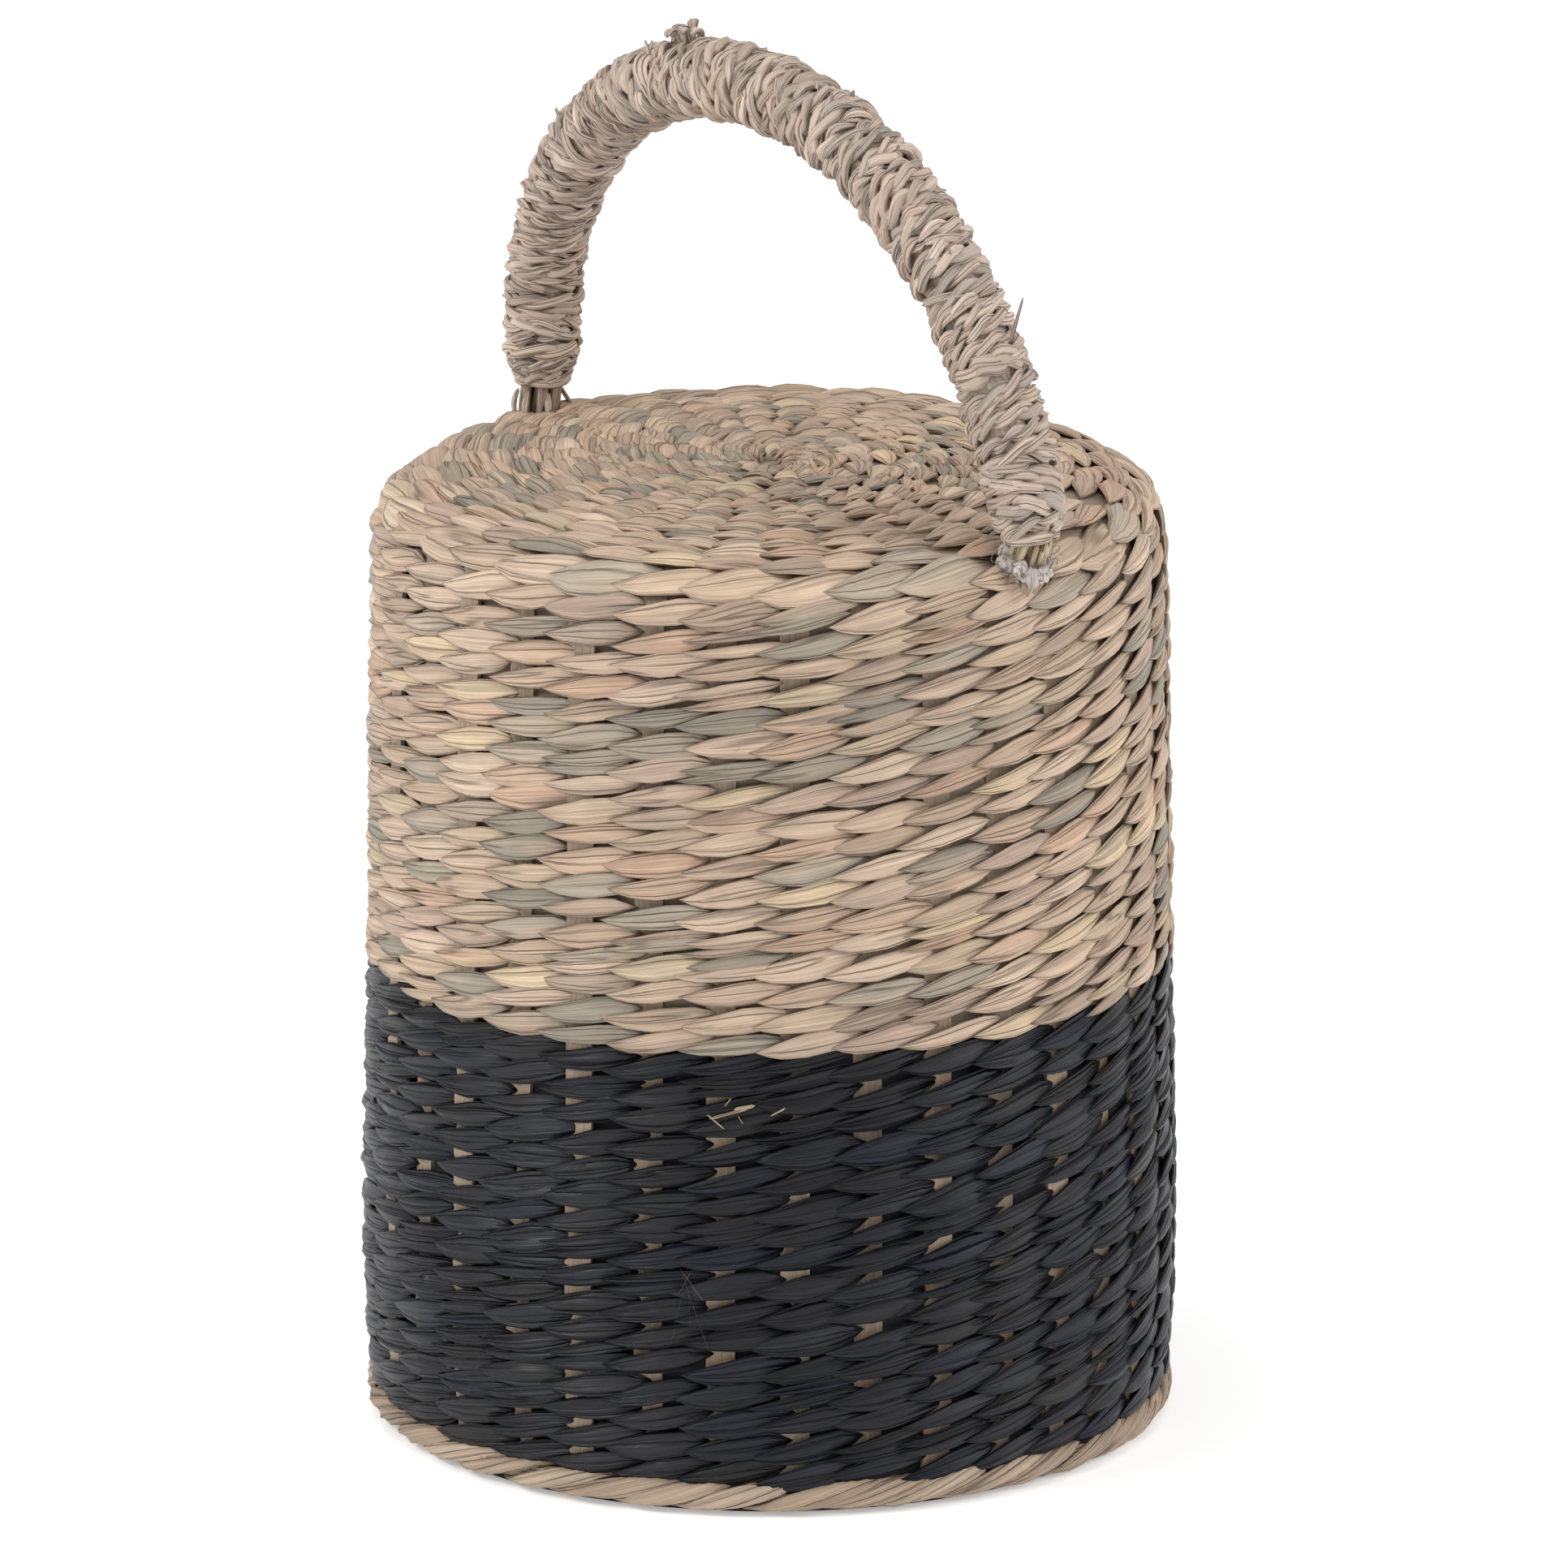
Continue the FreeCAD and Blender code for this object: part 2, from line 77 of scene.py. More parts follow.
def count(name, value, text):
    return IntProperty(name=name, default=value, min=1, description=text)


def amount(name, value, text):
    return FloatProperty(name=name, default=value, description=text)


def metres(name, value, text):
    return FloatProperty(name=name, default=value, unit="LENGTH", description=text)


def degrees(name, value, text):
    return FloatProperty(name=name, default=math.radians(value), subtype="ANGLE", description=text)


def pair(name, value, text):
    text += ", X and Z in millimetres"
    return FloatVectorProperty(name=name, default=value, size=2, description=text)


class DOORSTOP_PG_weave(bpy.types.PropertyGroup):
    """The woven shell, by the distance along its middle surface from the centre of the top."""

    mid_top: mm("Middle of the top", 216.6, "Height of the weave's middle surface at the centre")
    flat_end: mm("Flat middle", 20.0, "Where the flat middle of the top ends")
    dome_radius: mm("Dome radius", 500.0, "Radius of the slightly domed top")
    bend_centre: mm("Bend centre", 75.4018, "Distance from the axis to the centre of the shoulder's bend")
    bend_radius: mm("Shoulder bend", 11.0, "Radius of the shoulder")
    flare: degrees("Wall flare", 1.05, "How far the wall leans out towards the rim")
    belly_height: mm("Belly height", 45.0, "Where the wall starts to curve in again")
    belly_bend: mm("Belly bend", 270.0, "Radius of the wall's curve in towards the rim")
    stakes: count("Stakes", 34, "Stakes round the wall")
    first_row: mm("First row", 5.0, "Where the rows of the top start")
    fine_rows: count("Fine rows", 4, "Rows near the centre that pass over only every other stake")
    top_rows: count("Top rows", 13, "Rows of weft from the centre to the wale")
    wale_start: mm("Wale start", 78.95, "Where the wale starts")
    wale_end: mm("Wale end", 86.95, "Where the wale ends and the wall's rows start")
    natural_rows: count("Natural rows", 18, "Rows of natural weft on the wall")
    colour_change: mm("Colour change", 188.65, "Where the dark rows start")
    dark_rows: count("Dark rows", 16, "Rows of dark weft on the wall")
    rim_start: mm("Rim start", 288.36, "Where the dark rows end")
    rim_radius: mm("Rim radius", 87.6, "Radius of the middle of the border")
    rim_height: mm("Rim height", 4.4, "Height of the middle of the border")
    rim_section: mm("Rim section", 3.5, "Radius of the border's section")
    rim_strands: count("Rim strands", 38, "Strands that show round the border")


class DOORSTOP_PG_handle(bpy.types.PropertyGroup):
    """The wrapped handle, in the plane Y = 0."""

    left_end: pair("Left end", (-79.0, 222.0), "End of the wrapping at the left foot")
    right_end: pair("Right end", (88.5, 217.58), "End of the wrapping at the right foot")
    left_base: pair("Left base", (-80.5, 212.2), "Where the left neck passes the weave")
    right_base: pair("Right base", (84.6, 208.48), "Where the right neck passes the weave")
    left_run: mm("Left run", 15.5, "Length of the straight part of the left leg")
    right_bend: mm("Right bend", 115.0, "Radius of the right leg's bend")
    crest: degrees("Crest heading", 7.0, "Heading where the first two arcs meet")
    slope: degrees("Slope heading", -47.0, "Heading where the last two arcs meet")
    right: degrees("Right heading", -79.0, "Heading at the right foot")
    wrap_radius: mm("Wrapping radius", 8.9, "Radius of the wrapped handle")
    foot_radius: mm("Foot radius", 6.1, "Radius of the wrapping at its ends")
    taper: mm("Taper", 13.0, "Length over which the ends of the wrapping narrow")
    crossings: count("Crossing strands", 120, "Short strands that cross the turns of the winding")
    neck_radius: mm("Neck radius", 3.9, "Radius of the bare rope ends")


class DOORSTOP_PG_stage(bpy.types.PropertyGroup):
    """Camera, floor and lights."""

    azimuth: degrees("Azimuth", 49.3, "Camera azimuth; 0 looks along +Y")
    elevation: degrees("Elevation", 15.5, "Camera elevation above the horizon")
    distance: metres("Distance", 3.7, "Camera distance")
    lens: amount("Lens", 377.5, "Focal length on a 36 mm sensor")
    aim_height: metres("Aim height", 0.144, "Height of the point the camera looks at")
    shift: amount("Sideways shift", 0.0093, "Lens shift that sets the object off the middle")


# ---- shapes ----------------------------------------------------------------------------------


def round_z(r, angle, z):
    """The point at height z that lies r from the Z axis, at an angle round it."""
    return Vector((r * math.cos(angle), r * math.sin(angle), z))


def in_plane(place):
    """The point of the handle's plane at X and Z."""
    return Vector((place[0], 0, place[1]))


class Shell:
    """The middle surface of the weave, as a profile turned round Z. Sizes in millimetres."""

    def __init__(self, w):
        self.w = w
        self.flare = w.flare
        run = w.bend_centre - w.flat_end
        self.dome_angle = math.asin(run / (w.dome_radius - w.bend_radius))
        self.dome_end = w.flat_end + w.dome_radius * self.dome_angle
        drop = w.dome_radius - (w.dome_radius - w.bend_radius) * math.cos(self.dome_angle)
        self.bend_z = w.mid_top - drop
        self.bend_end = self.dome_end + w.bend_radius * (math.pi / 2 - self.dome_angle - self.flare)
        self.wall_r = w.bend_centre + w.bend_radius * math.cos(self.flare)
        self.wall_z = self.bend_z + w.bend_radius * math.sin(self.flare)
        self.wall_end = self.bend_end + (self.wall_z - w.belly_height) / math.cos(self.flare)

    def point(self, s, out=0.0):
        """Distance from the axis and height of a point out from the middle surface."""
        w = self.w
        if s <= w.flat_end:
            return s, w.mid_top + out
        if s <= self.dome_end:
            a = math.pi / 2 - (s - w.flat_end) / w.dome_radius
            r = w.dome_radius + out
            return w.flat_end + r * math.cos(a), w.mid_top - w.dome_radius + r * math.sin(a)
        if s <= self.bend_end:
            a = math.pi / 2 - self.dome_angle - (s - self.dome_end) / w.bend_radius
            r = w.bend_radius + out
            return w.bend_centre + r * math.cos(a), self.bend_z + r * math.sin(a)
        run = min(s, self.wall_end) - self.bend_end
        r = self.wall_r + run * math.sin(self.flare)
        z = self.wall_z - run * math.cos(self.flare)
        turn = self.flare
        if s > self.wall_end:
            turn = self.flare - (s - self.wall_end) / w.belly_bend
            r += w.belly_bend * (math.cos(turn) - math.cos(self.flare))
            z += w.belly_bend * (math.sin(turn) - math.sin(self.flare))
        return r + out * math.cos(turn), z + out * math.sin(turn)

    def at(self, angle, s, out=0.0):
        r, z = self.point(s, out)
        return round_z(r, angle, z)


class Arch:
    """The handle's middle line from the left foot to the right one. Sizes in millimetres."""

    def __init__(self, h):
        self.h = h
        headings = (math.pi / 2, h.crest, h.slope, h.right)
        self.start = in_plane(h.left_end)
        at, along = self.start + Z * h.left_run, h.left_run
        # The two free radii are the ones that bring the line to the right foot.
        rest = in_plane(h.right_end) - at - self.turn(h.right_bend, h.slope, h.right)
        a, b = self.turn(1, *headings[:2]), self.turn(1, *headings[1:3])
        scale = a.x * b.z - a.z * b.x
        first = (rest.x * b.z - rest.z * b.x) / scale
        second = (a.x * rest.z - a.z * rest.x) / scale
        self.arcs = []
        for bend, begin, end in zip((first, second, h.right_bend), headings, headings[1:]):
            self.arcs.append((along, at, bend, begin, end))
            at = at + self.turn(bend, begin, end)
            along += bend * (begin - end)
        self.length = along

    @staticmethod
    def turn(bend, begin, end):
        """The way from one end to the other of an arc of radius bend between two headings."""
        across = math.sin(begin) - math.sin(end)
        up = math.cos(end) - math.cos(begin)
        return in_plane((bend * across, bend * up))

    def middle(self, s):
        """The point that lies s along the line and the heading there."""
        if s <= self.h.left_run:
            return self.start + Z * s, math.pi / 2
        for along, at, bend, begin, end in self.arcs:
            heading = begin - (s - along) / bend
            if heading >= end:
                break
        return at + self.turn(bend, begin, heading), heading

    def at(self, s, angle, radius):
        """A point round the line: angle 0 is the outside of the arch and a quarter back is the front."""
        centre, heading = self.middle(s)
        out = in_plane((-math.sin(heading), math.cos(heading)))
        return centre + (out * math.cos(angle) + Y * math.sin(angle)) * radius

    def radius(self, s):
        """Outer radius of the wrapping, which narrows at both ends."""
        h = self.h
        ease = min(1.0, max(0.0, min(s, self.length - s) / h.taper))
        return h.foot_radius + (h.wrap_radius - h.foot_radius) * math.sin(ease * math.pi / 2)


def smooth(a, b, x):
    t = min(1.0, max(0.0, (x - a) / (b - a)))
    return t * t * (3 - 2 * t)


def curve(x, *knots):
    """Value at x of a smooth line through knots of (x, value)."""
    for (xa, va), (xb, vb) in zip(knots, knots[1:]):
        if x <= xb:
            return va + (vb - va) * smooth(xa, xb, x)
    return knots[-1][1]


def in_scene(name, data):
    """A new object of the scene, at the origin."""
    obj = bpy.data.objects.new(name, data)
    bpy.context.scene.collection.objects.link(obj)
    return obj


def finished(name, bm, material, body=None):
    """Turns a bmesh into a smooth object of one material that rides on its body."""
    for face in bm.faces:
        face.smooth = True
    mesh = bpy.data.meshes.new(name)
    bm.to_mesh(mesh)
    bm.free()
    mesh.materials.append(material)
    obj = in_scene(name, mesh)
    if body:
        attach(obj, body)
    return obj


class Mesh:
    """One piece made of many closed strands, each shaped from a ball."""

    def __init__(self, name):
        self.name = name
        self.whole = bmesh.new()
        self.open_part()

    def open_part(self):
        self.part = bmesh.new()
        self.part.loops.layers.uv.new("strand")
        self.part.verts.layers.float.new("tone")

    def close_part(self):
        """Moves the strands made so far into the whole, which keeps the ball operator quick."""
        scratch = bpy.data.meshes.new("scratch")
        self.part.to_mesh(scratch)
        self.part.free()
        self.whole.from_mesh(scratch)
        bpy.data.meshes.remove(scratch)
        self.open_part()

    def strand(self, place, tone, sides=8, rings=10, folds=()):
        """Adds one strand. place(u, side, out) gives the point at u from 0 to 1 along it.

        folds gives a share of the thickness for each side, and the low ones become sharp creases.
        """
        tones = self.part.verts.layers.float["tone"]
        made = bmesh.ops.create_uvsphere(
            self.part, u_segments=sides, v_segments=rings, radius=1.0, calc_uvs=True
        )
        lines = {}
        for vert in made["verts"]:
            x, y, z = vert.co
            u = math.acos(max(-1.0, min(1.0, -z))) / math.pi
            ring = math.hypot(x, y)
            side, out = (y / ring, -x / ring) if ring > 1e-4 else (0.0, 0.0)
            if folds and ring > 1e-4:
                line = round(math.atan2(y, x) / TAU * sides) % sides
                lines[vert] = line
                out *= folds[line]
            vert.co = place(u, side, out) * MM
            vert[tones] = tone
        for vert, line in lines.items():
            if folds[line] < 0.85:
                for edge in vert.link_edges:
                    if lines.get(edge.other_vert(vert)) == line:
                        edge.smooth = False

    def finish(self, body, material, replaced=()):
        """Turns the strands into an object that stands in for the frame's replaced nodes."""
        self.close_part()
        self.part.free()
        obj = finished(self.name, self.whole, material, body)
        if replaced:
            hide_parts(*replaced)
        return obj


# ---- materials -------------------------------------------------------------------------------


def tree(name):
    """A new node material, its nodes, its links and its shader."""
    material = bpy.data.materials.new(name)
    material.use_nodes = True
    nodes, links = material.node_tree.nodes, material.node_tree.links
    return material, nodes, links, nodes["Principled BSDF"]


def srgb(r, g, b):
    """Linear colour of an 8-bit sRGB one."""
    parts = [(c / 255 / 12.92) if c <= 10 else ((c / 255 + 0.055) / 1.055) ** 2.4 for c in (r, g, b)]
    return (*parts, 1.0)


def ramp(nodes, colours, constant=True):
    """A ramp of 8-bit colours, in steps or blended."""
    node = nodes.new("ShaderNodeValToRGB")
    node.color_ramp.interpolation = "CONSTANT" if constant else "LINEAR"
    stops = node.color_ramp.elements
    last = len(colours) if constant else len(colours) - 1
    while len(stops) < len(colours):
        stops.new(1.0)
    for k, colour in enumerate(colours):
        stops[k].position = k / last
        stops[k].color = srgb(*colour)
    return node


def maths(nodes, links, operation, a, b):
    node = nodes.new("ShaderNodeMath")
    node.operation = operation
    for socket, value in zip(node.inputs, (a, b)):
        if isinstance(value, (int, float)):
            socket.default_value = value
        else:
            links.new(value, socket)
    return node.outputs[0]


def noise_at(nodes, links, vector, scale, detail=3.0, rough=0.55):
    node = nodes.new("ShaderNodeTexNoise")
    node.inputs["Scale"].default_value = scale
    node.inputs["Detail"].default_value = detail
    node.inputs["Roughness"].default_value = rough
    links.new(vector, node.inputs["Vector"])
    return node.outputs["Fac"]


def smooth_step(nodes, links, value, low, high, start=0.0, end=1.0):
    node = nodes.new("ShaderNodeMapRange")
    node.interpolation_type = "SMOOTHSTEP"
    for socket, number in zip(node.inputs[1:5], (low, high, start, end)):
        socket.default_value = number
    links.new(value, node.inputs["Value"])
    return node.outputs["Result"]


def bumped(nodes, links, shader, height, depth):
    """Raises the surface by a height from 0 to 1 times a depth in millimetres."""
    bump = nodes.new("ShaderNodeBump")
    bump.inputs["Strength"].default_value = 1.0
    bump.inputs["Distance"].default_value = depth * MM
    links.new(height, bump.inputs["Height"])
    links.new(bump.outputs["Normal"], shader.inputs["Normal"])


def leaf_material(
    name, palette, rough=0.62, grain=24.0, run=1.0, streak=0.4, crease=0.45, depth=0.5, spec=0.3
):
    """Dry leaf: two close colours per strand, with folds and fibres that run along it into its tips.

    grain is how fine the fibres are across the strand and run how short they are along it. streak
    says how much the fibres darken it, crease how much painted shade darkens the creases, and depth is in
    millimetres.
    """
    material, nodes, links, shader = tree(name)
    tone = nodes.new("ShaderNodeAttribute")
    tone.attribute_name = "tone"
    uv = nodes.new("ShaderNodeUVMap")
    uv.uv_map = "strand"
    split = nodes.new("ShaderNodeSeparateXYZ")
    links.new(uv.outputs["UV"], split.inputs[0])
    seed = maths(nodes, links, "MULTIPLY", tone.outputs["Fac"], 391.0)

    def along(across, length):
        """Coordinates that are fine across the strand and long along it, and differ per strand."""
        joined = nodes.new("ShaderNodeCombineXYZ")
        links.new(maths(nodes, links, "MULTIPLY", split.outputs["X"], across), joined.inputs[0])
        links.new(maths(nodes, links, "MULTIPLY", split.outputs["Y"], length * run), joined.inputs[1])
        links.new(seed, joined.inputs[2])
        return joined.outputs[0]

    fibres = noise_at(nodes, links, along(grain * 3.4, 0.9), 1.0, 1.0, 0.5)
    folds = noise_at(nodes, links, along(grain * 0.34, 0.42), 1.0, 0.0)
    leaves = noise_at(nodes, links, along(2.2, 0.8), 1.0, 0.0)
    blotch = noise_at(nodes, links, along(4.0, 3.0), 1.0, 2.0)
    # A thin line wherever the wide noise crosses its middle value is a crease: painted shade darkens it in
    # the colour, and the bump sinks it.
    off_line = maths(nodes, links, "ABSOLUTE", maths(nodes, links, "SUBTRACT", folds, 0.5), 0.0)
    line = smooth_step(nodes, links, off_line, 0.0, 0.03)
    colours = []
    for turn in (1.0, 7.37):
        picked = ramp(nodes, palette)
        turned = maths(nodes, links, "MULTIPLY", tone.outputs["Fac"], turn)
        links.new(maths(nodes, links, "FRACT", turned, 0), picked.inputs["Fac"])
        colours.append(picked.outputs["Color"])
    mixed = nodes.new("ShaderNodeMix")
    mixed.data_type = "RGBA"
    links.new(smooth_step(nodes, links, leaves, 0.42, 0.62, 0.0, 0.4), mixed.inputs["Factor"])
    links.new(colours[0], mixed.inputs["A"])
    links.new(colours[1], mixed.inputs["B"])
    shade = smooth_step(nodes, links, fibres, 0.3, 0.7, 1.0 - streak / 2, 1.0 + streak / 2)
    mottled = smooth_step(nodes, links, blotch, 0.25, 0.75, 0.9, 1.08)
    # Painted shade: the colour is darkened along each crease line by the crease share.
    crease_shade = maths(nodes, links, "MULTIPLY_ADD", line, crease)
    crease_shade.node.inputs[2].default_value = 1.0 - crease
    value = maths(nodes, links, "MULTIPLY", maths(nodes, links, "MULTIPLY", shade, mottled), crease_shade)
    tint = nodes.new("ShaderNodeVectorMath")
    tint.operation = "SCALE"
    links.new(mixed.outputs["Result"], tint.inputs[0])
    links.new(value, tint.inputs["Scale"])
    links.new(tint.outputs[0], shader.inputs["Base Color"])
    ridges = maths(nodes, links, "MULTIPLY", off_line, 5.0)
    grooves = maths(nodes, links, "ADD", maths(nodes, links, "MULTIPLY", line, 0.5), ridges)
    height = maths(nodes, links, "ADD", grooves, maths(nodes, links, "MULTIPLY", fibres, 0.45))
    bumped(nodes, links, shader, height, depth)
    shader.inputs["Roughness"].default_value = rough
    shader.inputs["Specular IOR Level"].default_value = spec
    return material


def mottled_material(name, dark, light, scale, rough, depth, stretch=(1, 1, 1)):
    """A material that mottles between two colours in object space, with a depth in millimetres."""
    material, nodes, links, shader = tree(name)
    place = nodes.new("ShaderNodeTexCoord")
    scaled = nodes.new("ShaderNodeMapping")
    scaled.inputs["Scale"].default_value = stretch
    links.new(place.outputs["Object"], scaled.inputs["Vector"])
    grain = noise_at(nodes, links, scaled.outputs["Vector"], scale, 4.0)
    colours = ramp(nodes, (dark, light), constant=False)
    links.new(grain, colours.inputs["Fac"])
    links.new(colours.outputs["Color"], shader.inputs["Base Color"])
    bumped(nodes, links, shader, grain, depth)
    shader.inputs["Roughness"].default_value = rough
    return material


def cloth_material(name, dark, light, threads):
    """Plain-woven cloth: two crossed sets of threads over a soft mottle."""
    material, nodes, links, shader = tree(name)
    place = nodes.new("ShaderNodeTexCoord")
    sets = []
    for direction in ("X", "Z"):
        wave = nodes.new("ShaderNodeTexWave")
        wave.bands_direction = direction
        wave.inputs["Scale"].default_value = threads
        wave.inputs["Distortion"].default_value = 0.6
        links.new(place.outputs["Object"], wave.inputs["Vector"])
        sets.append(wave.outputs["Fac"])
    crossed = maths(nodes, links, "MULTIPLY", *sets)
    mottle = noise_at(nodes, links, place.outputs["Object"], 90.0)
    mixed = maths(nodes, links, "MULTIPLY", maths(nodes, links, "ADD", crossed, mottle), 0.6)
    colours = ramp(nodes, (dark, light), constant=False)
    links.new(mixed, colours.inputs["Fac"])
    links.new(colours.outputs["Color"], shader.inputs["Base Color"])
    bumped(nodes, links, shader, crossed, 0.1)
    shader.inputs["Roughness"].default_value = 0.85
    return material


NATURAL = [
    (198, 173, 150), (190, 165, 142), (182, 158, 136), (174, 153, 134), (204, 181, 158), (195, 166, 142),
    (154, 145, 129), (164, 153, 136), (206, 184, 153), (185, 162, 143), (192, 161, 137), (147, 139, 124),
    (200, 177, 155), (177, 154, 137), (188, 167, 142), (169, 148, 129), (194, 170, 148), (180, 159, 140),
]
PALE = [
    (206, 183, 159), (197, 173, 148), (189, 167, 145), (176, 163, 144), (210, 188, 162), (195, 170, 147),
    (183, 161, 140), (201, 177, 152),
]
BORDER = [(177, 156, 135), (169, 148, 127), (161, 140, 121), (182, 162, 141), (157, 138, 119)]
DARK = [
    (13, 14, 23), (17, 17, 23), (10, 11, 18), (10, 15, 28), (21, 21, 29), (12, 12, 18), (9, 16, 32),
    (17, 16, 20), (24, 25, 34), (9, 11, 19), (13, 17, 27), (18, 17, 21),
]
HANDLE = [
    (201, 181, 166), (193, 174, 159), (209, 189, 173), (181, 164, 150), (204, 184, 165), (189, 174, 160),
    (215, 197, 181), (185, 167, 151), (198, 176, 160), (176, 163, 151),
]
STRAW = [(192, 174, 144), (180, 161, 133), (168, 149, 122), (200, 184, 154)]
FIBRE = [(172, 154, 138), (158, 141, 127), (184, 165, 147), (144, 129, 116)]
FELT = [(200, 190, 183), (185, 176, 171), (214, 205, 198), (171, 162, 156)]


def tone_of(rng, palette):
    """A tone in the middle part of one of the palette's steps, so each strand keeps its own fibres."""
    return (rng.randrange(len(palette)) + rng.uniform(0.1, 0.9)) / len(palette)


# ---- the weave -------------------------------------------------------------------------------


def stitch(shell, rng, angle, s, pitch, step, look):
    """How one leaf stitch lies: over its own stake, with its right end tucked behind the next one.

    angle and s are the middle of the stake it crosses and of its row, and step is the angle from
    one stake to the next. The look gives its reach in steps, its width in pitches, how far it
    rises to the right, its thickness, how much it is lifted and arched, and how unevenly it starts.
    """
    start = angle - step * (0.60 + rng.uniform(-0.08, 0.08) + look["stagger"] * rng.uniform(-1, 1))
    reach = look["reach"] * rng.uniform(0.94, 1.08)
    half = 0.5 * pitch * look["width"] * rng.uniform(0.8, 1.14)
    rise = pitch * (look["slant"] + rng.uniform(-0.07, 0.08))
    shift = pitch * rng.uniform(-0.11, 0.11)
    lift = look["lift"] + rng.uniform(-0.25, 0.3)
    roll = rng.uniform(-0.16, 0.24)
    sag = pitch * rng.uniform(0.0, 0.11)
    blunt = rng.uniform(0.12, 0.3)
    belly = rng.uniform(0.42, 0.6)
    wave = rng.uniform(0, TAU)

    def place(u, side, out):
        v = u * reach
        wide = half * curve(u, (0, 0.02), (0.12, 0.36), (0.28, 0.76), (belly, 1.0), (0.76, 0.9), (1, blunt))
        centre = shift - rise * math.cos(math.pi * u ** 0.9) - sag * math.sin(math.pi * u)
        deep = curve(v, (0, 2.4), (0.35, 2.3), (0.7, 2.1), (1.0, 1.75), (1.35, 1.1), (1.8, -0.6)) + lift
        deep += look["arch"] * math.sin(math.pi * min(1.0, v / 1.3))
        fat = look["thick"] * curve(u, (0, 0.12), (0.2, 0.7), (0.5, 1.0), (0.8, 0.7), (1, 0.25))
        lateral = centre + side * wide + 0.12 * math.sin(wave + 7 * u)
        outward = deep + out * fat - side * roll * wide
        return shell.at(start + step * v, s - lateral, outward)

    return place


def folded(rng, sides):
    """Shares of the thickness round a strand of folded leaf."""
    return [rng.uniform(0.3, 0.7) if rng.random() < 0.34 else rng.uniform(0.95, 1.3) for _ in range(sides)]


LOOK = {
    "reach": 1.6, "width": 1.0, "lift": 0.0, "slant": 0.26, "thick": 0.95, "arch": 0.0,
    "stagger": 0.0, "split": 0.1,
}
PUFFY = {
    "reach": 1.8, "width": 1.4, "lift": -0.5, "slant": 0.34, "thick": 1.35, "arch": 0.9, "stagger": 0.22,
}
LONG = {"reach": 2.1, "width": 1.16, "lift": 0.1, "thick": 1.25, "stagger": 0.1}


def weave_band(name, shell, rng, rows, palette, material, replaced):
    """A piece of weave. Each row gives its place, its height, its stake count and its look.

    The split share of its stitches is laid as two narrow strands.
    """
    piece = Mesh(name)
    for s, pitch, stakes, look in rows:
        step = TAU / stakes
        for k in range(stakes):
            angle = (k + 0.5) * step
            middle = s + 0.35 * math.sin(3 * angle + s) + rng.uniform(-0.3, 0.3)
            full = {**LOOK, **look}
            offsets = (0.0,)
            if rng.random() < full["split"]:
                full["width"] *= 0.62
                offsets = (-0.22 * pitch, 0.22 * pitch)
            for offset in offsets:
                place = stitch(shell, rng, angle, middle + offset, pitch, step, full)
                piece.strand(place, tone_of(rng, palette), 12, 9, folded(rng, 12))
        piece.close_part()
    return piece.finish("basket", material, replaced)


class DOORSTOP_OT_weave(bpy.types.Operator):
    """Lays every stitch of the top, the wale and the two zones of the wall"""

    bl_idname = "doorstop.weave"
    bl_label = "Build the weave"

    def execute(self, context):
        w = context.scene.doorstop_weave
        shell, rng = Shell(w), random.Random(11)
        natural = leaf_material("natural_leaf", NATURAL, grain=17.0)
        pale = leaf_material("pale_leaf", PALE, grain=19.0)
        dark = leaf_material(
            "dyed_leaf", DARK, rough=0.4, grain=19.0, streak=0.8, crease=0.6, depth=0.7, spec=0.36
        )
        pitch = (w.wale_start - w.first_row) / w.top_rows
        rows = []
        for k in range(w.top_rows):
            stakes = w.stakes // 2 if k < w.fine_rows else w.stakes
            rows.append((w.first_row + (k + 0.5) * pitch, pitch, stakes, PUFFY))
        weave_band("top_stitches", shell, rng, rows, NATURAL, natural, ("top_weft",))
        wale = w.wale_end - w.wale_start
        rows = [(w.wale_start + wale / 2, wale, w.stakes, LONG)]
        weave_band("wale_stitches", shell, rng, rows, PALE, pale, ("shoulder_wale",))
        rows = self.wall_rows(rng, w.wale_end, w.colour_change, w.natural_rows, w.stakes, 1.03, 0.08)
        weave_band("natural_stitches", shell, rng, rows, NATURAL, natural, ("natural_wall_weft",))
        rows = self.wall_rows(rng, w.colour_change, w.rim_start, w.dark_rows, w.stakes, 1.02, 0.24)
        weave_band("dark_stitches", shell, rng, rows, DARK, dark, ("dark_wall_weft",))
        return {"FINISHED"}

    @staticmethod
    def wall_rows(rng, start, end, number, stakes, width, split):
        pitch = (end - start) / number
        rows = []
        for k in range(number):
            look = {"width": width * rng.uniform(0.94, 1.06), "split": split}
            rows.append((start + (k + 0.5) * pitch, pitch, stakes, look))
        return rows


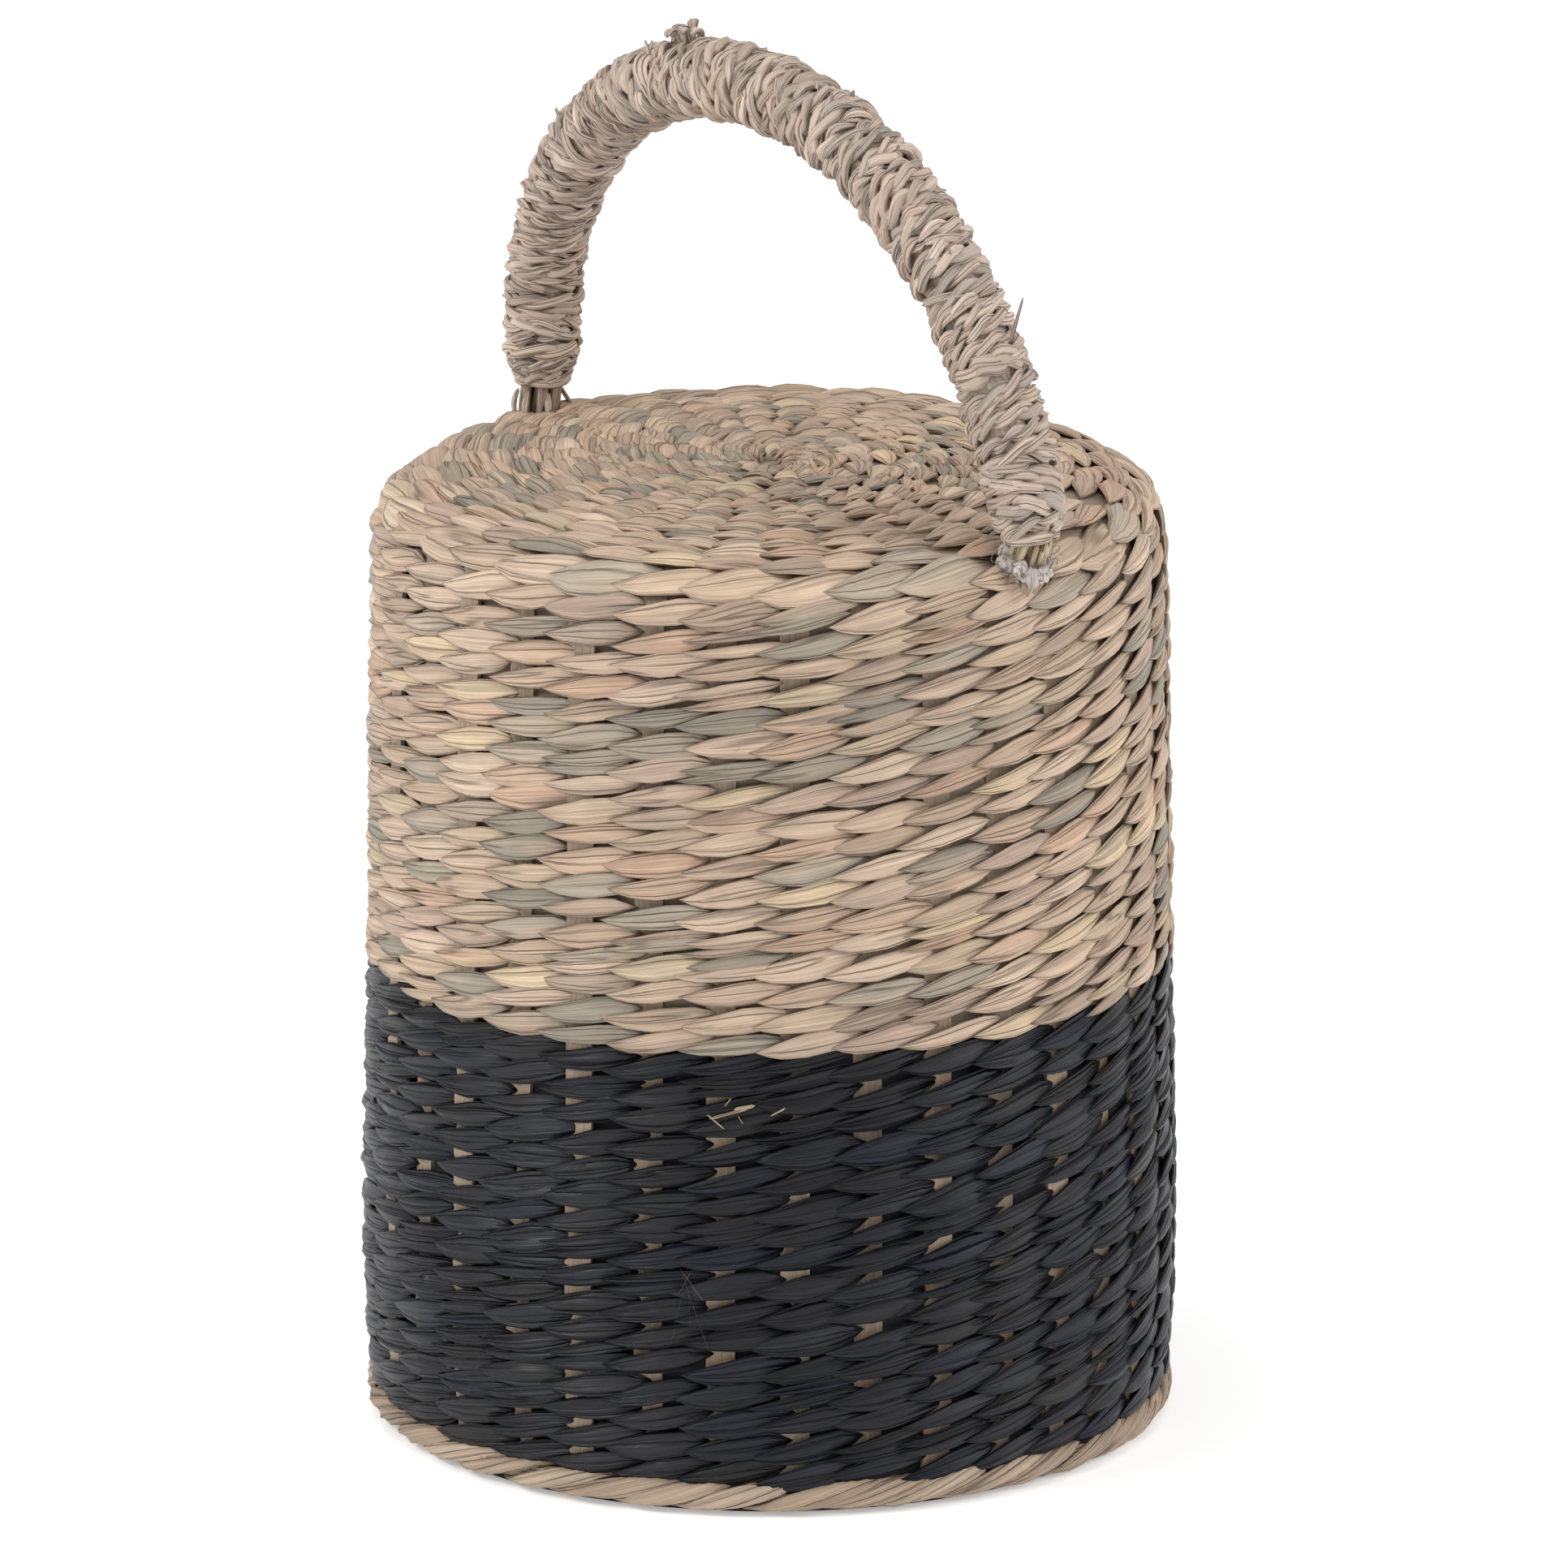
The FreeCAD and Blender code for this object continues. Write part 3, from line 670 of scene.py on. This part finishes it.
class DOORSTOP_OT_lining(bpy.types.Operator):
    """Turns the backs of the wall's rows and the filled bag inside them"""

    bl_idname = "doorstop.lining"
    bl_label = "Build the inside"

    def execute(self, context):
        w = context.scene.doorstop_weave
        shell = Shell(w)
        # The natural backs are partly the leaf's own colour and partly painted shade: a darker brown for the
        # shade between the stakes and under the stitches.
        backs = mottled_material("inner_leaf_painted_shade", (112, 98, 84), (164, 146, 128), 260.0, 0.9, 0.5, (1, 1, 3))
        darks = mottled_material("inner_dyed_leaf", (20, 20, 24), (40, 40, 46), 260.0, 0.9, 0.5, (1, 1, 3))
        self.turned("inner_natural_weft", shell, w.first_row, w.colour_change, backs)
        self.turned("inner_dark_weft", shell, w.colour_change, w.rim_start + 2, darks)
        self.bag()
        return {"FINISHED"}

    @staticmethod
    def turned(name, shell, start, end, material):
        """A closed ring of section start to end along the shell, spun round the axis.

        On the top it lies just under the stitches, and on the wall it lies between the stakes.
        """
        bm = bmesh.new()
        number, back, row = 80, -1.8, 5.65
        ring = []
        for inner, order in ((False, range(number + 1)), (True, range(number, -1, -1))):
            for k in order:
                s = start + (end - start) * k / number
                out = back if inner else 1.8 - 2.2 * smooth(66.0, 90.0, s)
                wave = 0.1 * math.sin(TAU * s / row)
                ring.append(bm.verts.new(shell.at(0, s, out + wave) * MM))
        edges = [bm.edges.new(two) for two in zip(ring, ring[1:] + ring[:1])]
        bmesh.ops.spin(bm, geom=ring + edges, axis=Z, cent=(0, 0, 0), angle=TAU, steps=96, use_merge=True)
        bmesh.ops.recalc_face_normals(bm, faces=bm.faces)
        finished(name, bm, material, "basket")

    @staticmethod
    def bag():
        """The grey cloth bag, a little creased, that fills the drum up to the underside of the top."""
        piece = Mesh("filled_bag")
        radius, low, top, dome = 83.0, 4.0, 211.6, 2.6
        squareness = 0.16

        def place(u, side, out):
            angle = math.atan2(side, out)
            climb = 0.5 * math.pi * curve(u, (0, 0), (0.5, 1), (1, 2)) - math.pi / 2
            ring = abs(math.cos(climb)) ** squareness if math.sin(math.pi * u) > 1e-3 else 0.0
            rise = math.copysign(abs(math.sin(climb)) ** squareness, math.sin(climb))
            r = radius * ring
            high = top - dome * ring ** 2
            z = (low + high) / 2 + (high - low) / 2 * rise
            crease = 0.35 * abs(noise.noise(round_z(r, angle, z) / 9))
            return round_z(r - crease, angle, z - crease)

        piece.strand(place, 0.5, sides=64, rings=60)
        cloth = cloth_material("bag_cloth", (52, 57, 64), (112, 119, 130), 260.0)
        obj = piece.finish("basket", cloth, ("lining_bag", "wadding", "sand_bag", "sand_fill"))


class DOORSTOP_OT_rim(bpy.types.Operator):
    """Twists the natural border that the drum stands on"""

    bl_idname = "doorstop.rim"
    bl_label = "Build the border"

    def execute(self, context):
        w = context.scene.doorstop_weave
        rng = random.Random(5)
        piece = Mesh("twisted_border")
        for k in range(w.rim_strands):
            place = self.lay(w, rng, k * TAU / w.rim_strands)
            piece.strand(place, tone_of(rng, BORDER), 12, 12, folded(rng, 12))
        piece.close_part()
        self.core(piece, w)
        material = leaf_material("border_leaf", BORDER, grain=26.0, crease=0.6)
        piece.finish("basket", material, ("rim_border",))
        return {"FINISHED"}

    @staticmethod
    def lay(w, rng, angle):
        """One strand, which climbs from under the border over its outside and in at the top."""
        length = TAU / w.rim_strands * rng.uniform(2.4, 2.9)
        section, fat = w.rim_section - 0.7, rng.uniform(0.85, 1.1)
        wide = rng.uniform(2.7, 3.4)
        angle += rng.uniform(-0.02, 0.02)

        def place(u, side, out):
            climb = -1.9 + 3.9 * u
            taper = curve(u, (0, 0.25), (0.3, 1.0), (0.7, 1.0), (1, 0.3))
            turn = climb + side * wide * taper / w.rim_section
            radius = section + out * fat * taper + 0.25 * math.sin(math.pi * u)
            r = w.rim_radius + radius * math.cos(turn)
            z = max(w.rim_height + radius * math.sin(turn), 1.05)
            return round_z(r, angle + length * u, z)

        return place

    @staticmethod
    def core(piece, w):
        """Long strands inside the border that fill it between the wound ones."""
        number, radius, overlap = 12, 2.3, 0.1
        for k in range(number):

            def place(u, side, out, begin=k * TAU / number):
                along = begin + (TAU / number + overlap) * u
                return round_z(w.rim_radius + radius * out, along, w.rim_height + radius * side)

            piece.strand(place, 0.2, 8, 14)


# ---- the handle ------------------------------------------------------------------------------


class DOORSTOP_OT_handle(bpy.types.Operator):
    """Winds the leaf strands round the handle"""

    bl_idname = "doorstop.handle"
    bl_label = "Build the handle"

    def execute(self, context):
        h = context.scene.doorstop_handle
        arch, rng = Arch(h), random.Random(23)
        piece = Mesh("handle_binding")
        s = 1.8
        while s < arch.length - 1.8:
            half = rng.uniform(1.45, 1.95) + 0.3 * s / arch.length
            for place in self.cord(arch, rng, s, half):
                piece.strand(place, tone_of(rng, HANDLE), 10, 36, folded(rng, 10))
            piece.close_part()
            s += half * 1.75
        for _ in range(h.crossings):
            s = rng.uniform(4.0, arch.length - 4.0)
            piece.strand(self.crossing(arch, rng, s), tone_of(rng, HANDLE), 10, 10, folded(rng, 10))
        piece.close_part()
        for s in (1.4, arch.length - 1.4):
            for turn in range(3):
                piece.strand(self.band(arch, rng, s, turn), tone_of(rng, HANDLE), 8, 18)
        piece.close_part()
        self.filler(piece, arch)
        material = leaf_material("handle_leaf", HANDLE, grain=15.0, run=2.5, crease=0.55)
        piece.finish("handle", material, ("handle_wrap",))
        return {"FINISHED"}

    @staticmethod
    def cord(arch, rng, s, half):
        """The two twisted plies of one whole turn of the winding, which is tilted."""
        begin = rng.uniform(0, TAU)
        tilt = rng.uniform(0.2, 1.0) + 1.5 * s / arch.length
        toward = rng.gauss(0.1, 0.5)
        level, lay = rng.uniform(-0.4, 0.4), rng.choice((3.0, 4.0, 4.5)) * (1 if rng.random() < 0.7 else -1)
        lump, bow = rng.uniform(0, TAU), rng.uniform(0.1, 0.6)
        plies = []
        for ply in (0.0, math.pi):
            fat = half * rng.uniform(0.5, 0.64)
            wide = half * rng.uniform(0.62, 0.78)

            def place(u, side, out, ply=ply, fat=fat, wide=wide):
                angle = begin + TAU * 1.07 * u
                taper = curve(u, (0, 0.15), (0.1, 0.9), (0.3, 1.0), (0.75, 1.0), (0.92, 0.85), (1, 0.15))
                drift = 0.4 * half * curve(u, (0, -1.0), (0.12, 0.0), (0.88, 0.0), (1, 1.0))
                twist = lay * angle + ply + lump
                at = s - tilt * math.cos(angle - toward) + drift + bow * math.sin(2 * angle + lump)
                at += 0.5 * half * math.cos(twist) - side * wide * taper
                at = min(max(at, 0.4), arch.length - 0.4)
                base = arch.radius(at) - 1.35 + level + 0.42 * half * math.sin(twist)
                return arch.at(at, angle, base + out * fat * taper)

            plies.append(place)
        return plies

    @staticmethod
    def crossing(arch, rng, s):
        """A short strand that crosses over its neighbours, with both tips tucked between them."""
        begin, span = rng.uniform(0, TAU), rng.uniform(1.0, 2.4)
        slant = rng.uniform(1.4, 3.2) * (1 if rng.random() < 0.6 else -1)
        wide, fat = rng.uniform(0.9, 1.6), rng.uniform(0.6, 0.9)

        def place(u, side, out):
            angle = begin + span * u
            taper = curve(u, (0, 0.15), (0.3, 0.9), (0.5, 1.0), (0.7, 0.9), (1, 0.15))
            tuck = curve(u, (0, -1.6), (0.3, 0.0), (0.7, 0.0), (1, -1.6))
            at = s + slant * span * (u - 0.5) - side * wide * taper
            at = min(max(at, 0.4), arch.length - 0.4)
            return arch.at(at, angle, arch.radius(at) - 0.45 + tuck + out * fat * taper)

        return place

    @staticmethod
    def band(arch, rng, s, turn):
        """A level strand round an end of the binding, which closes it off."""
        begin = turn * TAU / 3 + rng.uniform(-0.2, 0.2)

        def place(u, side, out):
            angle = begin + TAU * 0.42 * u
            taper = curve(u, (0, 0.3), (0.3, 1.0), (0.7, 1.0), (1, 0.3))
            return arch.at(s - side * 1.4 * taper, angle, arch.radius(s) - 0.9 + out * 0.9 * taper)

        return place

    @staticmethod
    def filler(piece, arch):
        """The earlier layer of winding under the strands that show."""

        def place(u, side, out):
            s = 0.8 + (arch.length - 1.6) * u
            ribs = 0.3 * math.sin(s * TAU / 2.6)
            close = 1.0 if 0.0 < u < 1.0 else 0.0
            return arch.at(s, math.atan2(-side, out), (arch.radius(s) - 2.2 + ribs) * close)

        piece.strand(place, 0.35, 20, 200)


class DOORSTOP_OT_feet(bpy.types.Operator):
    """Builds the two bare necks with the leaf loops and the felt round them"""

    bl_idname = "doorstop.feet"
    bl_label = "Build the feet"

    def execute(self, context):
        h = context.scene.doorstop_handle
        rng = random.Random(7)
        left = in_plane(h.left_base), in_plane(h.left_end)
        right = in_plane(h.right_base), in_plane(h.right_end)
        fibre = leaf_material("neck_fibre", FIBRE, grain=8.0, streak=0.5)
        straw = leaf_material("neck_straw", STRAW, grain=8.0, streak=0.5)
        felt = leaf_material("felt_fibre", FELT, rough=0.95, grain=30.0, crease=0.1, depth=0.15, spec=0.1)
        self.neck("left_neck_fibres", left, rng, FIBRE, fibre, ("left_neck",), h.neck_radius)
        self.neck("right_neck_fibres", right, rng, STRAW, straw, ("right_neck",), h.neck_radius)
        self.loops(left, rng, leaf_material("loop_leaf", HANDLE, grain=14.0))
        self.felt(right, rng, felt)
        return {"FINISHED"}

    @staticmethod
    def axes(ends):
        """The foot of a neck, its direction and the direction across it in the handle's plane."""
        base, end = ends
        axis = (end - base).normalized()
        return base, axis, axis.cross(Y).normalized()

    @classmethod
    def bent(cls, piece, ends, material, replaced):
        """Finishes a piece that bends from the weave up to the binding."""
        base, axis, _ = cls.axes(ends)
        low, high = base + axis * 2.6, ends[1] - axis * 0.6
        obj = piece.finish(None, material)
        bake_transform(obj, "basket", "handle", start=tuple(low * MM), end=tuple(high * MM))
        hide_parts(*replaced)

    @classmethod
    def neck(cls, name, ends, rng, palette, material, replaced, radius):
        """A bundle of fibres from under the weave up into the binding."""
        base, axis, across = cls.axes(ends)
        length, buried = (ends[1] - base).length, 3.0
        outer, inner = 14, 8
        piece = Mesh(name)
        for k in range(outer + inner):
            ring = radius * (0.92 if k < outer else 0.45)
            around = k * TAU / (outer if k < outer else inner) + rng.uniform(-0.15, 0.15)
            lean, thin = rng.uniform(-0.5, 0.5), rng.uniform(0.75, 1.15)
            bulge = rng.uniform(-0.2, 0.5)

            def place(u, side, out, around=around, ring=ring, lean=lean, thin=thin, bulge=bulge):
                angle = around + lean * u
                outward = across * math.cos(angle) + Y * math.sin(angle)
                at = base + axis * (-buried + (length + 2 * buried) * u)
                at += outward * (ring + bulge * math.sin(math.pi * u) + out * thin)
                return at - outward.cross(axis) * side * thin

            piece.strand(place, tone_of(rng, palette), 6, 8)
        cls.bent(piece, ends, material, replaced)

    @classmethod
    def loops(cls, ends, rng, material):
        """Leaf loops that tie the left neck down to the weave on both of its sides.

        Each has its top, its middle and its bottom as steps from the neck's foot, and its width.
        """
        base = ends[0]
        piece = Mesh("left_leaf_loops")
        lashes = (
            ((-1.0, -5.0, 9.0), (-2.4, -6.6, 5.2), (-1.0, -5.4, 1.8), 1.2),
            ((2.0, -4.4, 9.2), (1.4, -6.2, 4.8), (3.0, -6.0, 1.8), 1.0),
            ((1.0, 4.8, 9.0), (2.4, 6.4, 5.6), (3.6, 8.0, 2.0), 1.3),
            ((-3.4, 3.2, 8.8), (-5.2, 4.6, 4.8), (-5.6, 4.8, 1.6), 1.1),
            ((4.4, -1.0, 8.6), (5.4, -1.6, 5.2), (6.4, -2.4, 3.0), 1.0),
        )
        for top, middle, bottom, wide in lashes:
            a, b, c = [base + Vector(p) for p in (top, middle, bottom)]

            def place(u, side, out, a=a, b=b, c=c, wide=wide):
                at = a * (1 - u) ** 2 + b * 2 * u * (1 - u) + c * u ** 2
                heading = ((b - a) * (1 - u) + (c - b) * u).normalized()
                flat = Vector((at.x - base.x, at.y, 0)).normalized()
                sideways = flat.cross(heading).normalized()
                taper = curve(u, (0, 0.5), (0.4, 1.0), (1, 0.6))
                return at + sideways * side * wide * taper + flat * out * 0.45

            piece.strand(place, tone_of(rng, HANDLE), 8, 10)
        cls.bent(piece, ends, material, ("left_lashing",))

    @classmethod
    def felt(cls, ends, rng, material):
        """Loose grey felt stuffed round the right neck: lumps, and hairs that stand off them."""
        base, axis, across = cls.axes(ends)
        lumps, hairs = 13, 260
        piece = Mesh("right_felt")
        for k in range(lumps):
            around = TAU * (0.5 + k) / lumps
            away = across * math.cos(around) + Y * math.sin(around)
            centre = base + axis * rng.uniform(3.8, 5.6) + away * rng.uniform(4.2, 5.6)
            size = rng.uniform(1.6, 2.3)

            def lump(u, side, out, centre=centre, size=size, k=k):
                ring = math.sin(math.pi * u)
                at = Vector((side * ring, out * ring, math.cos(math.pi * u)))
                return centre + at * size * (1 + 0.6 * noise.noise(at * 1.8 + Vector((k, 0, 0))))

            piece.strand(lump, tone_of(rng, FELT), 12, 9)
        for k in range(hairs):
            around = rng.uniform(0, TAU)
            away = across * math.cos(around) + Y * math.sin(around)
            start = base + axis * rng.uniform(2.8, 7.0) + away * rng.uniform(3.8, 6.4)
            course = Vector((rng.gauss(0, 1), rng.gauss(0, 1), rng.gauss(0, 0.8))).normalized()
            course += away * 0.4
            curl = Vector((rng.gauss(0, 1), rng.gauss(0, 1), rng.gauss(0, 1))) * 1.1
            length, thin = rng.uniform(2.5, 5.0), rng.uniform(0.07, 0.13)

            def hair(u, side, out, start=start, course=course, curl=curl, length=length, thin=thin):
                at = start + course * length * (u - 0.5) + curl * math.sin(math.pi * u)
                return at + Vector((side, out, 0)) * thin

            piece.strand(hair, tone_of(rng, FELT), 4, 6)
            if k % 40 == 39:
                piece.close_part()
        cls.bent(piece, ends, material, ("right_padding",))


class DOORSTOP_OT_ends(bpy.types.Operator):
    """Adds the folded leaf end, the stray ends and the bits of straw"""

    bl_idname = "doorstop.ends"
    bl_label = "Build the loose ends"

    def execute(self, context):
        arch, rng = Arch(context.scene.doorstop_handle), random.Random(3)
        leaf = leaf_material("end_leaf", HANDLE, grain=14.0)
        self.tuck(arch, rng, leaf)
        self.stray(arch, rng, leaf)
        self.straws(Shell(context.scene.doorstop_weave), rng)
        return {"FINISHED"}

    @staticmethod
    def tuck(arch, rng, material):
        """The leaf end that is folded over itself on the crest."""
        piece = Mesh("crest_fold")
        middle = arch.h.left_run + 91.0
        blades = 7
        for k in range(blades):
            spread = -1.0 + 2.0 * k / (blades - 1)
            tall, curl = rng.uniform(4.4, 6.0), rng.uniform(-0.3, 0.5)
            depth = rng.uniform(-0.35, 0.35)

            def place(u, side, out, spread=spread, tall=tall, curl=curl, depth=depth):
                wide = curve(u, (0, 0.9), (0.6, 1.7), (1, 0.9))
                s = middle + spread * (1.4 + 2.2 * math.sin(0.5 * math.pi * u)) + side * wide
                rise = tall * math.sin(0.7 * math.pi * u) * (1 - 0.35 * spread ** 2)
                return arch.at(s, depth * (1 - u) - curl * u, arch.radius(s) - 1.6 + rise + out * 0.55)

            piece.strand(place, tone_of(rng, HANDLE), 8, 10)
        piece.finish("handle", material, ("handle_tuck",))

    @staticmethod
    def stray(arch, rng, material):
        """Leaf ends that stand off the handle: one long one on the right leg and a few nibs."""
        piece = Mesh("stray_ends")
        wide, nibs = 0.9, 9
        ends = [(arch.length - 42.0, 0.1, 9.5, -0.9)]
        for _ in range(nibs):
            s, angle = rng.uniform(60, arch.length - 40), rng.uniform(-1.2, 0.4)
            ends.append((s, angle, rng.uniform(1.6, 3.2), 1))
        for s, angle, length, lean in ends:

            def place(u, side, out, s=s, angle=angle, length=length, lean=lean):
                edge = arch.radius(s)
                root = arch.at(s + side * wide * (1 - 0.6 * u), angle, edge - 0.9 + out * 0.3)
                away = arch.at(s + lean * 2.5, angle, edge + 10) - arch.at(s, angle, edge)
                away = away.normalized() * 0.6 + Z * 0.8
                return root + away * length * u

            piece.strand(place, tone_of(rng, HANDLE), 6, 8)
        piece.finish("handle", material, ("loose_leaf_end",))

    @staticmethod
    def straws(shell, rng):
        """A few bits of straw and fine hairs caught in the rows.

        Each has its angle, its place along the shell, its length, its tilt and its half thickness.
        """
        piece = Mesh("caught_straw")
        wall_radius, stand_off = 91.0, 3.4
        spots = (
            (-0.805, 201.4, 10.0, 0.30, 0.35), (-0.77, 200.0, 5.0, 0.22, 0.5),
            (-0.84, 203.4, 5.5, -0.7, 0.22), (-0.81, 198.8, 2.6, 0.9, 0.2),
            (-0.78, 202.8, 2.4, -1.0, 0.2), (-0.69, 201.0, 4.0, 0.5, 0.22),
            (-0.925, 245.4, 19.0, 1.35, 0.07), (-0.905, 243.4, 15.0, 1.62, 0.06),
            (-0.89, 246.9, 22.0, 1.9, 0.07), (-0.915, 240.9, 7.0, 1.1, 0.06),
            (-0.895, 241.4, 9.0, 2.2, 0.06), (-0.77, 116.4, 9.0, 0.95, 0.08),
        )
        for angle, s, length, tilt, thin in spots:

            def place(u, side, out, angle=angle, s=s, length=length, tilt=tilt, thin=thin):
                along = (u - 0.5) * length
                turn = along * math.cos(tilt) / wall_radius
                lateral = along * math.sin(tilt) + side * thin
                return shell.at(angle + turn, s - lateral, stand_off + out * thin)

            piece.strand(place, tone_of(rng, STRAW), 6, 6)
        material = leaf_material("straw", STRAW, grain=6.0)
        piece.finish("basket", material)


# ---- frame nodes and stage -------------------------------------------------------------------


class DOORSTOP_OT_dress(bpy.types.Operator):
    """Gives the frame's own nodes that stay in view their materials"""

    bl_idname = "doorstop.dress"
    bl_label = "Dress the frame"

    def execute(self, context):
        cane = mottled_material("split_cane", (112, 95, 78), (186, 165, 141), 330.0, 0.6, 0.35, (6, 6, 0.3))
        rope = mottled_material("rope", (150, 128, 96), (196, 172, 132), 300.0, 0.85, 0.4, (1, 1, 4))
        black = cloth_material("black_cloth", (14, 14, 16), (34, 34, 38), 330.0)
        card = mottled_material("board", (120, 98, 72), (150, 126, 96), 120.0, 0.9, 0.1)
        thread = mottled_material("thread", (12, 12, 14), (40, 40, 44), 900.0, 0.7, 0.05)
        dressed = {
            "long_stakes_lower": cane, "long_stakes_upper": cane, "inserted_stakes": cane,
            "handle_core": rope, "left_knot": rope, "right_knot": rope,
            "underside_cloth": black, "underside_board": card, "underside_stitches": thread,
        }
        for name, material in dressed.items():
            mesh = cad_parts[name].data
            mesh.materials.clear()
            mesh.materials.append(material)
        return {"FINISHED"}


class DOORSTOP_OT_stage(bpy.types.Operator):
    """Sets the camera, the floor and the soft lights"""

    bl_idname = "doorstop.stage"
    bl_label = "Set the stage"

    def execute(self, context):
        scene, st = context.scene, context.scene.doorstop_stage
        az, el = st.azimuth, st.elevation
        camera = bpy.data.cameras.new("camera")
        camera.lens = st.lens
        camera.sensor_width = 36.0
        camera.shift_x = st.shift
        camera.clip_end = 50.0
        eye = in_scene("camera", camera)
        look = Vector((-math.sin(az) * math.cos(el), math.cos(az) * math.cos(el), -math.sin(el)))
        eye.location = Vector((0, 0, st.aim_height)) - look * st.distance
        eye.rotation_euler = look.to_track_quat("-Z", "Y").to_euler()
        scene.camera = eye
        scene.view_settings.view_transform = "Standard"
        self.floor()
        self.lights(scene, az)
        return {"FINISHED"}

    @staticmethod
    def floor():
        """A pale sweep with a faint grain."""
        bm = bmesh.new()
        bmesh.ops.create_circle(bm, cap_ends=True, segments=64, radius=6.0)
        material = mottled_material("floor_paint", (248, 248, 248), (253, 253, 253), 4.0, 0.9, 0.01)
        shader = material.node_tree.nodes["Principled BSDF"]
        shader.inputs["Emission Color"].default_value = (1.0, 1.0, 1.0, 1.0)
        shader.inputs["Emission Strength"].default_value = 0.34
        obj = finished("floor", bm, material)
        obj.location = (0, 0, -0.0002)

    @staticmethod
    def lights(scene, az):
        """Large soft lights from both sides, a weak top light and a bright surround."""
        front = Vector((math.sin(az), -math.cos(az), 0))
        side = Vector((math.cos(az), math.sin(az), 0))
        for name, place, size, power in (
            ("key", front * 0.55 - side * 1.35 + Z * 1.1, 0.8, 14.5),
            ("fill", front * 0.55 + side * 1.35 + Z * 0.9, 1.0, 10.0),
            ("top", Z * 1.7 + front * 0.2, 1.4, 4.5),
        ):
            lamp = bpy.data.lights.new(name, "AREA")
            lamp.shape = "DISK"
            lamp.size = size
            lamp.energy = power
            obj = in_scene(name, lamp)
            obj.location = place
            obj.rotation_euler = (Z * 0.12 - place).to_track_quat("-Z", "Y").to_euler()
        world = bpy.data.worlds.new("surround")
        scene.world = world
        world.use_nodes = True
        background = world.node_tree.nodes["Background"]
        background.inputs["Color"].default_value = (1.0, 1.0, 1.0, 1.0)
        background.inputs["Strength"].default_value = 0.56


class DOORSTOP_PT_panel(bpy.types.Panel):
    """Buttons for each part of the doorstop"""

    bl_idname = "DOORSTOP_PT_panel"
    bl_label = "Woven basket doorstop"
    bl_space_type = "VIEW_3D"
    bl_region_type = "UI"
    bl_category = "Doorstop"

    def draw(self, context):
        for operator in OPERATORS:
            self.layout.operator(operator.bl_idname)
        for group_name, kind in GROUPS.items():
            box = self.layout.box()
            for name in kind.__annotations__:
                box.prop(getattr(context.scene, group_name), name)


OPERATORS = (
    DOORSTOP_OT_stage,
    DOORSTOP_OT_dress,
    DOORSTOP_OT_lining,
    DOORSTOP_OT_weave,
    DOORSTOP_OT_rim,
    DOORSTOP_OT_handle,
    DOORSTOP_OT_feet,
    DOORSTOP_OT_ends,
)
GROUPS = {
    "doorstop_weave": DOORSTOP_PG_weave,
    "doorstop_handle": DOORSTOP_PG_handle,
    "doorstop_stage": DOORSTOP_PG_stage,
}
CLASSES = (*GROUPS.values(), *OPERATORS, DOORSTOP_PT_panel)


def register():
    for cls in CLASSES:
        bpy.utils.register_class(cls)
    for name, kind in GROUPS.items():
        setattr(bpy.types.Scene, name, PointerProperty(type=kind))


def unregister():
    for name in GROUPS:
        delattr(bpy.types.Scene, name)
    for cls in reversed(CLASSES):
        bpy.utils.unregister_class(cls)


def main():
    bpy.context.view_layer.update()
    register()
    for operator in OPERATORS:
        getattr(bpy.ops.doorstop, operator.bl_idname.split(".")[1])()


if __name__ == "__main__":
    main()
